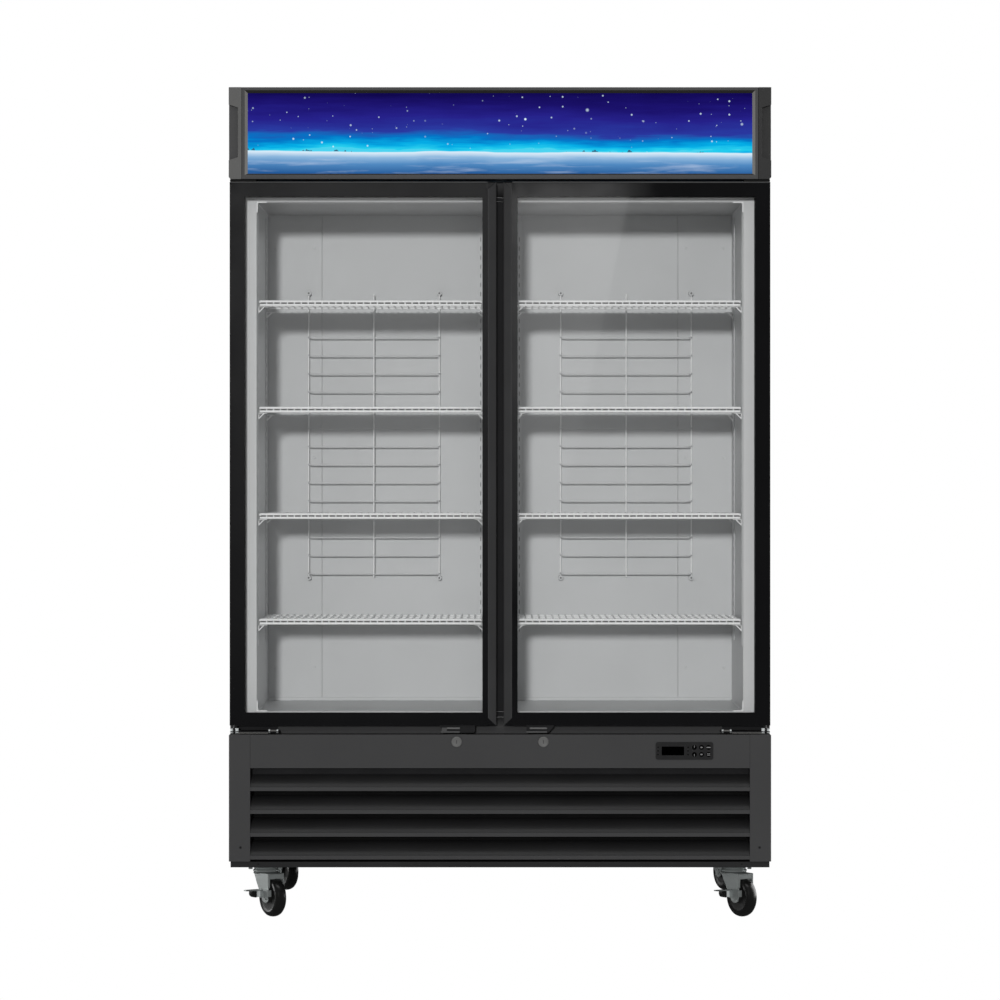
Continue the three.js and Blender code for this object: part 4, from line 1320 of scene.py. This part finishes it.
def caster_brake(place):
    bm = bmesh.new()
    block(bm, (-28.4, -26.1), (-57.5, -16.5), (47.4, 68.6), 1.0, 3)
    # this face wears the lighter zinc, a painted highlight
    block(bm, (-45.5, -27), (-20, -17.7), (49.3, 67.6), 1.0, 3, 2)
    block(bm, (-28.4, -17.5), (-58, -56), (52, 68.6), 0.9, 3)
    add_to(bm, pedal())
    pad = bmesh.new()
    block(pad, (-58, -45), (-31, -15), (50, 66.5))
    curl = [e for e in pad.edges if all(v.co.x < -0.057 and v.co.z < 0.051 for v in e.verts)]
    bmesh.ops.bevel(pad, geom=curl, offset=10 * MM, offset_type="OFFSET", segments=6, profile=0.5,
                    affect="EDGES", material=-1)
    for face in pad.faces:
        face.material_index = 1
    add_to(bm, pad)
    rod(bm, (-28.9, -37, 58), (-27.5, -37, 58), 4.2, 24)
    bmesh.ops.transform(bm, matrix=caster_place(place), verts=bm.verts)
    piece(f"caster_brake_{place}_finished", bm, [zinc_plate, tyre_rubber, zinc_painted_highlight], f"brake_{place}",
          [f"caster_brake_{place}"])


for place in PLACES:
    caster_plate(place)
    caster_fork(place)
    caster_wheel(place)
    if place.startswith("front"):
        caster_brake(place)

# %% [markdown]
# Base frame and machinery. The frame keeps its own shape, with its outer edges rounded, in a darker
# coat that is painted shade, and two small holes at the front, drawn as dark discs of painted shade.
# Coils and fans keep the working model's shapes and only get their finish.

# %% Base frame, coils and fans
fin_metal = surface("fin_aluminium", (0.55, 0.56, 0.57), 0.38, 60, 0.12, (900, 0.03), metallic=1.0)
fan_moulding = surface("fan_moulding", (0.02, 0.02, 0.022), 0.4, 30, 0.12, (1400, 0.02))


def base_frame():
    bm = node_mesh("base_frame")
    round_edges(bm, [e for e in sharp_edges(bm, 60) if abs(e.verts[0].co.x) > 0.66], 0.8, 2)
    for x in (-602, 602):
        rod(bm, (x, -372.3, 136), (x, -371.7, 136), 1.8, 14, finish=1)
    piece("base_frame_finished", bm, [painted_shade_coat, painted_shade_void], "cabinet", ["base_frame"])


base_frame()
for coil in ("condenser_coil", "evaporator_coil"):
    dress(coil, fin_metal)
for fan in ("condenser_fan", "evaporator_fan"):
    dress(fan, fan_moulding)

# %% [markdown]
# The compressor is a welded pot on a mounting plate with four rubber feet. Its profile is spun like a
# bowl on a wheel and scaled to the working model's box. Copper pipes leave it, drawn as paths.

# %% Compressor and pipes
copper = surface("copper_pipe", (0.72, 0.33, 0.2), 0.3, 60, 0.15, (800, 0.02), metallic=1.0)
enamel = surface("compressor_enamel", (0.012, 0.012, 0.013), 0.3, 20, 0.1, (500, 0.05), coat=0.4)
POT = [(0, 316), (42, 315), (74, 306), (92, 288), (98, 262), (98, 240), (102, 238), (102, 231),
       (98, 229), (98, 190), (92, 168), (70, 156), (0, 154)]
POT_RADIUS = 102


def compressor(low, high):
    x, y, _ = (low + high) / 2
    scale = min(1, min(high[0] - low[0], high[1] - low[1]) / 2 / POT_RADIUS)
    bm = bmesh.new()
    lathe(bm, [(r * scale, h) for r, h in POT], Matrix.Translation(Vector((x, y, 0)) * MM), 56)
    block(bm, (x - 70, x + 70), (y - 60, y + 60), (146, 149.5), 1.0)
    for dx in (-58, 58):
        for dy in (-48, 48):
            rod(bm, (x + dx, y + dy, 143), (x + dx, y + dy, 154), 9, 20, finish=1)
    piece("compressor_finished", bm, [enamel, seal_rubber], "cabinet", ["compressor"])
    return x, y


def refrigerant_pipes(x, y):
    bm = bmesh.new()
    thin, thick = 3.2, 5.0
    path_into(bm, [(x - 96, y - 20, 230), (x - 130, y - 40, 232), (x - 150, y - 120, 250),
                   (x - 190, y - 200, 300), (-104, -235, 330)], thin, 16)
    path_into(bm, [(x + 94, y + 18, 250), (x + 120, y + 30, 300), (x + 122, y + 60, 380),
                   (x + 110, y + 120, 438)], thick, 16)
    path_into(bm, [(x - 90, y + 28, 270), (x - 120, y + 60, 330), (x - 128, y + 110, 390),
                   (x - 110, y + 140, 438)], thin, 16)
    piece("refrigerant_pipes", bm, copper, "cabinet")


refrigerant_pipes(*compressor(*(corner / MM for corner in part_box("compressor"))))

# %% [markdown]
# Back of the cabinet: a service cover over the machine space with rows of air slots and screws. The
# slots are thin dark plates on the cover, painted shade in place of cut slots, which is cheaper than
# cutting them and looks the same. The seam strips and screws higher up lie just under the back sheet,
# so from outside the sheet is plain.

# %% Back panel and service cover
def back_details():
    bm = bmesh.new()
    block(bm, (-669, 669), (376.6, 379.2), (146, 449), 1.0)
    for row in range(5):
        for column in range(9):
            x, z = -520 + column * 130, 190 + row * 44
            block(bm, (x - 46, x + 46), (379.0, 379.5), (z - 4, z + 4), finish=1)
    for x in (-648, -324, 0, 324, 648):
        for z in (162, 434):
            rod(bm, (x, 379.1, z), (x, 379.9, z), 5, 20, 4, finish=2)
    for x in (-652, 652):
        block(bm, (x - 0.5, x + 0.5), (379.6, 379.95), (470, 2050), finish=1)
    block(bm, (-652, 652), (379.6, 379.95), (2049.5, 2050.5), finish=1)
    for z in (520, 1000, 1500, 2020):
        for x in (-662, 662):
            rod(bm, (x, 379.1, z), (x, 379.9, z), 4, 20, 3.2, finish=2)
    piece("back_details", bm, [charcoal_coat, painted_shade_void, zinc_plate], "cabinet")


back_details()

# %% [markdown]
# The light is a wide soft sun near the camera's own direction, so the inside of the cabinet is lit
# as deep as its rear wall and each shelf drops a short shadow. The surround is plain white to the
# camera, nearly dark to a mirror, and a dull white to everything else.

# %% Surround and sun
def surround():
    world = bpy.data.worlds.new("studio")
    scene.world = world
    world.use_nodes = True
    tree = world.node_tree
    background = tree.nodes["Background"]
    path = tree.nodes.new("ShaderNodeLightPath")

    def blend(seen_by, low, high):
        mix = tree.nodes.new("ShaderNodeMix")
        mix.data_type = "FLOAT"
        tree.links.new(path.outputs[seen_by], mix.inputs[0])
        for socket, value in ((mix.inputs[2], low), (mix.inputs[3], high)):
            if isinstance(value, (int, float)):
                socket.default_value = value
            else:
                tree.links.new(value, socket)
        return mix.outputs[0]

    mirror = blend("Is Glossy Ray", 0.42, 0.05)
    tree.links.new(blend("Is Camera Ray", mirror, 1.0), background.inputs["Strength"])
    background.inputs["Color"].default_value = (1, 1, 1, 1)


def sun(name, strength, left, up, softness):
    """A sun so many degrees to the left of the camera and above the horizon."""
    lamp = bpy.data.lights.new(name, "SUN")
    lamp.energy = strength
    lamp.angle = math.radians(softness)
    made = bpy.data.objects.new(name, lamp)
    made.rotation_euler = (math.radians(90 - up), 0, math.radians(-left))
    made.visible_glossy = False
    scene.collection.objects.link(made)


surround()
sun("key_sun", 1.72, left=3.5, up=6.5, softness=3.0)

# %% [markdown]
# Everything else in the studio is a flat sheet that some rays never meet. Packed shelf wires stop
# low sunlight, so a film at each shelf that only shadow rays meet makes that shade steady. The floor
# only throws light back, because the camera and the mirrors look past it.

# %% Floor and shade under the shelves
def stage_sheet(name, corners, finish, unseen_by):
    """A flat sheet that belongs to the studio and not to the object."""
    bm = bmesh.new()
    bm.faces.new([bm.verts.new(corner) for corner in corners])
    mesh = bpy.data.meshes.new(name)
    bm.to_mesh(mesh)
    bm.free()
    mesh.materials.append(finish)
    made = bpy.data.objects.new(name, mesh)
    for ray in unseen_by:
        setattr(made, f"visible_{ray}", False)
    scene.collection.objects.link(made)


def shade_film(tint):
    material = bpy.data.materials.new("shade_film")
    material.use_nodes = True
    tree = material.node_tree
    tree.nodes.remove(tree.nodes["Principled BSDF"])
    film = node(material, "ShaderNodeBsdfTransparent", Color=(*tint, 1))
    join(material, film.outputs[0], tree.nodes["Material Output"].inputs["Surface"])
    return material


film = shade_film((0.3, 0.3, 0.3))
for level in sorted(set(shelf_levels.values())):
    for sign in SIDES.values():
        plan = ((sign * 50, -290), (sign * 600, -290), (sign * 600, 50), (sign * 50, 50))
        corners = [Vector((x, y, level)) * MM for x, y in plan]
        stage_sheet("shelf_shade", corners, film, ("camera", "glossy", "diffuse", "transmission"))
floor_paint = surface("studio_floor", (0.9, 0.9, 0.9), 0.9, 0.5, 0.0, (5, 0.0))
stage_sheet("studio_floor", [(-30, -30, 0), (30, -30, 0), (30, 30, 0), (-30, 30, 0)], floor_paint,
            ("glossy", "camera"))

# %% [markdown]
# Glowing cards that only reflections can see shape the gloss. Cards at the sides and above light the
# metal's edges. A veil lies over the left door and a slanting streak over the right one, and each
# fades downwards. `mirrored` finds where a card has to stand to show at a given spot on the doors.

# %% Cards for the reflections
def glow_card(name, corners, strength, fade=None):
    material = new_finish(f"{name}_light", (0, 0, 0), 1.0, specular=0)
    shader = material.node_tree.nodes["Principled BSDF"]
    shader.inputs["Emission Color"].default_value = (1, 1, 1, 1)
    shader.inputs["Emission Strength"].default_value = strength
    if fade:
        place = node(material, "ShaderNodeTexCoord")
        split = node(material, "ShaderNodeSeparateXYZ")
        ramp = node(material, "ShaderNodeMapRange", interpolation_type="LINEAR")
        for key, value in (("From Min", fade[0]), ("From Max", fade[1]), ("To Min", 0), ("To Max", strength)):
            ramp.inputs[key].default_value = value
        join(material, place.outputs["Object"], split.inputs[0])
        join(material, split.outputs["Z"], ramp.inputs["Value"])
        join(material, ramp.outputs["Result"], shader.inputs["Emission Strength"])
    stage_sheet(name, corners, material, ("camera", "diffuse", "shadow", "transmission"))


def mirrored(x, z, distance=5.0):
    """Where a card at a distance has to stand to show at (x, z) on the door's front face."""
    reach = camera.location.y - DOOR["front"] * MM
    k = (distance + DOOR["front"] * MM) / -reach
    return x * (1 + k), -distance, camera.location.z + (z - camera.location.z) * (1 + k)


def side_card(side, sign, strength=3.0):
    x, front, back, top = sign * 2.6, -0.6, 2.4, 2.4
    corners = [(x, front, 0), (x, back, 0), (x, back, top), (x, front, top)]
    glow_card(f"side_card_{side}", corners, strength)


for side, sign in SIDES.items():
    side_card(side, sign)
glow_card("top_card", [(-1.4, -2.6, 3.4), (1.4, -2.6, 3.4), (1.4, -0.6, 3.4), (-1.4, -0.6, 3.4)], 1.0)
veil = [mirrored(-0.69, 1.9), mirrored(-0.02, 1.9), mirrored(-0.02, 0.3), mirrored(-0.69, 0.3)]
glow_card("veil_card", veil, 0.56, (mirrored(0, 0.3)[2], mirrored(0, 2.0)[2]))
streak = [mirrored(0.004, 1.86), mirrored(0.335, 1.86), mirrored(0.099, 0.74), mirrored(0.0, 0.74)]
glow_card("streak_card", streak, 1.15, (mirrored(0, 0.74)[2], mirrored(0, 1.75)[2]))
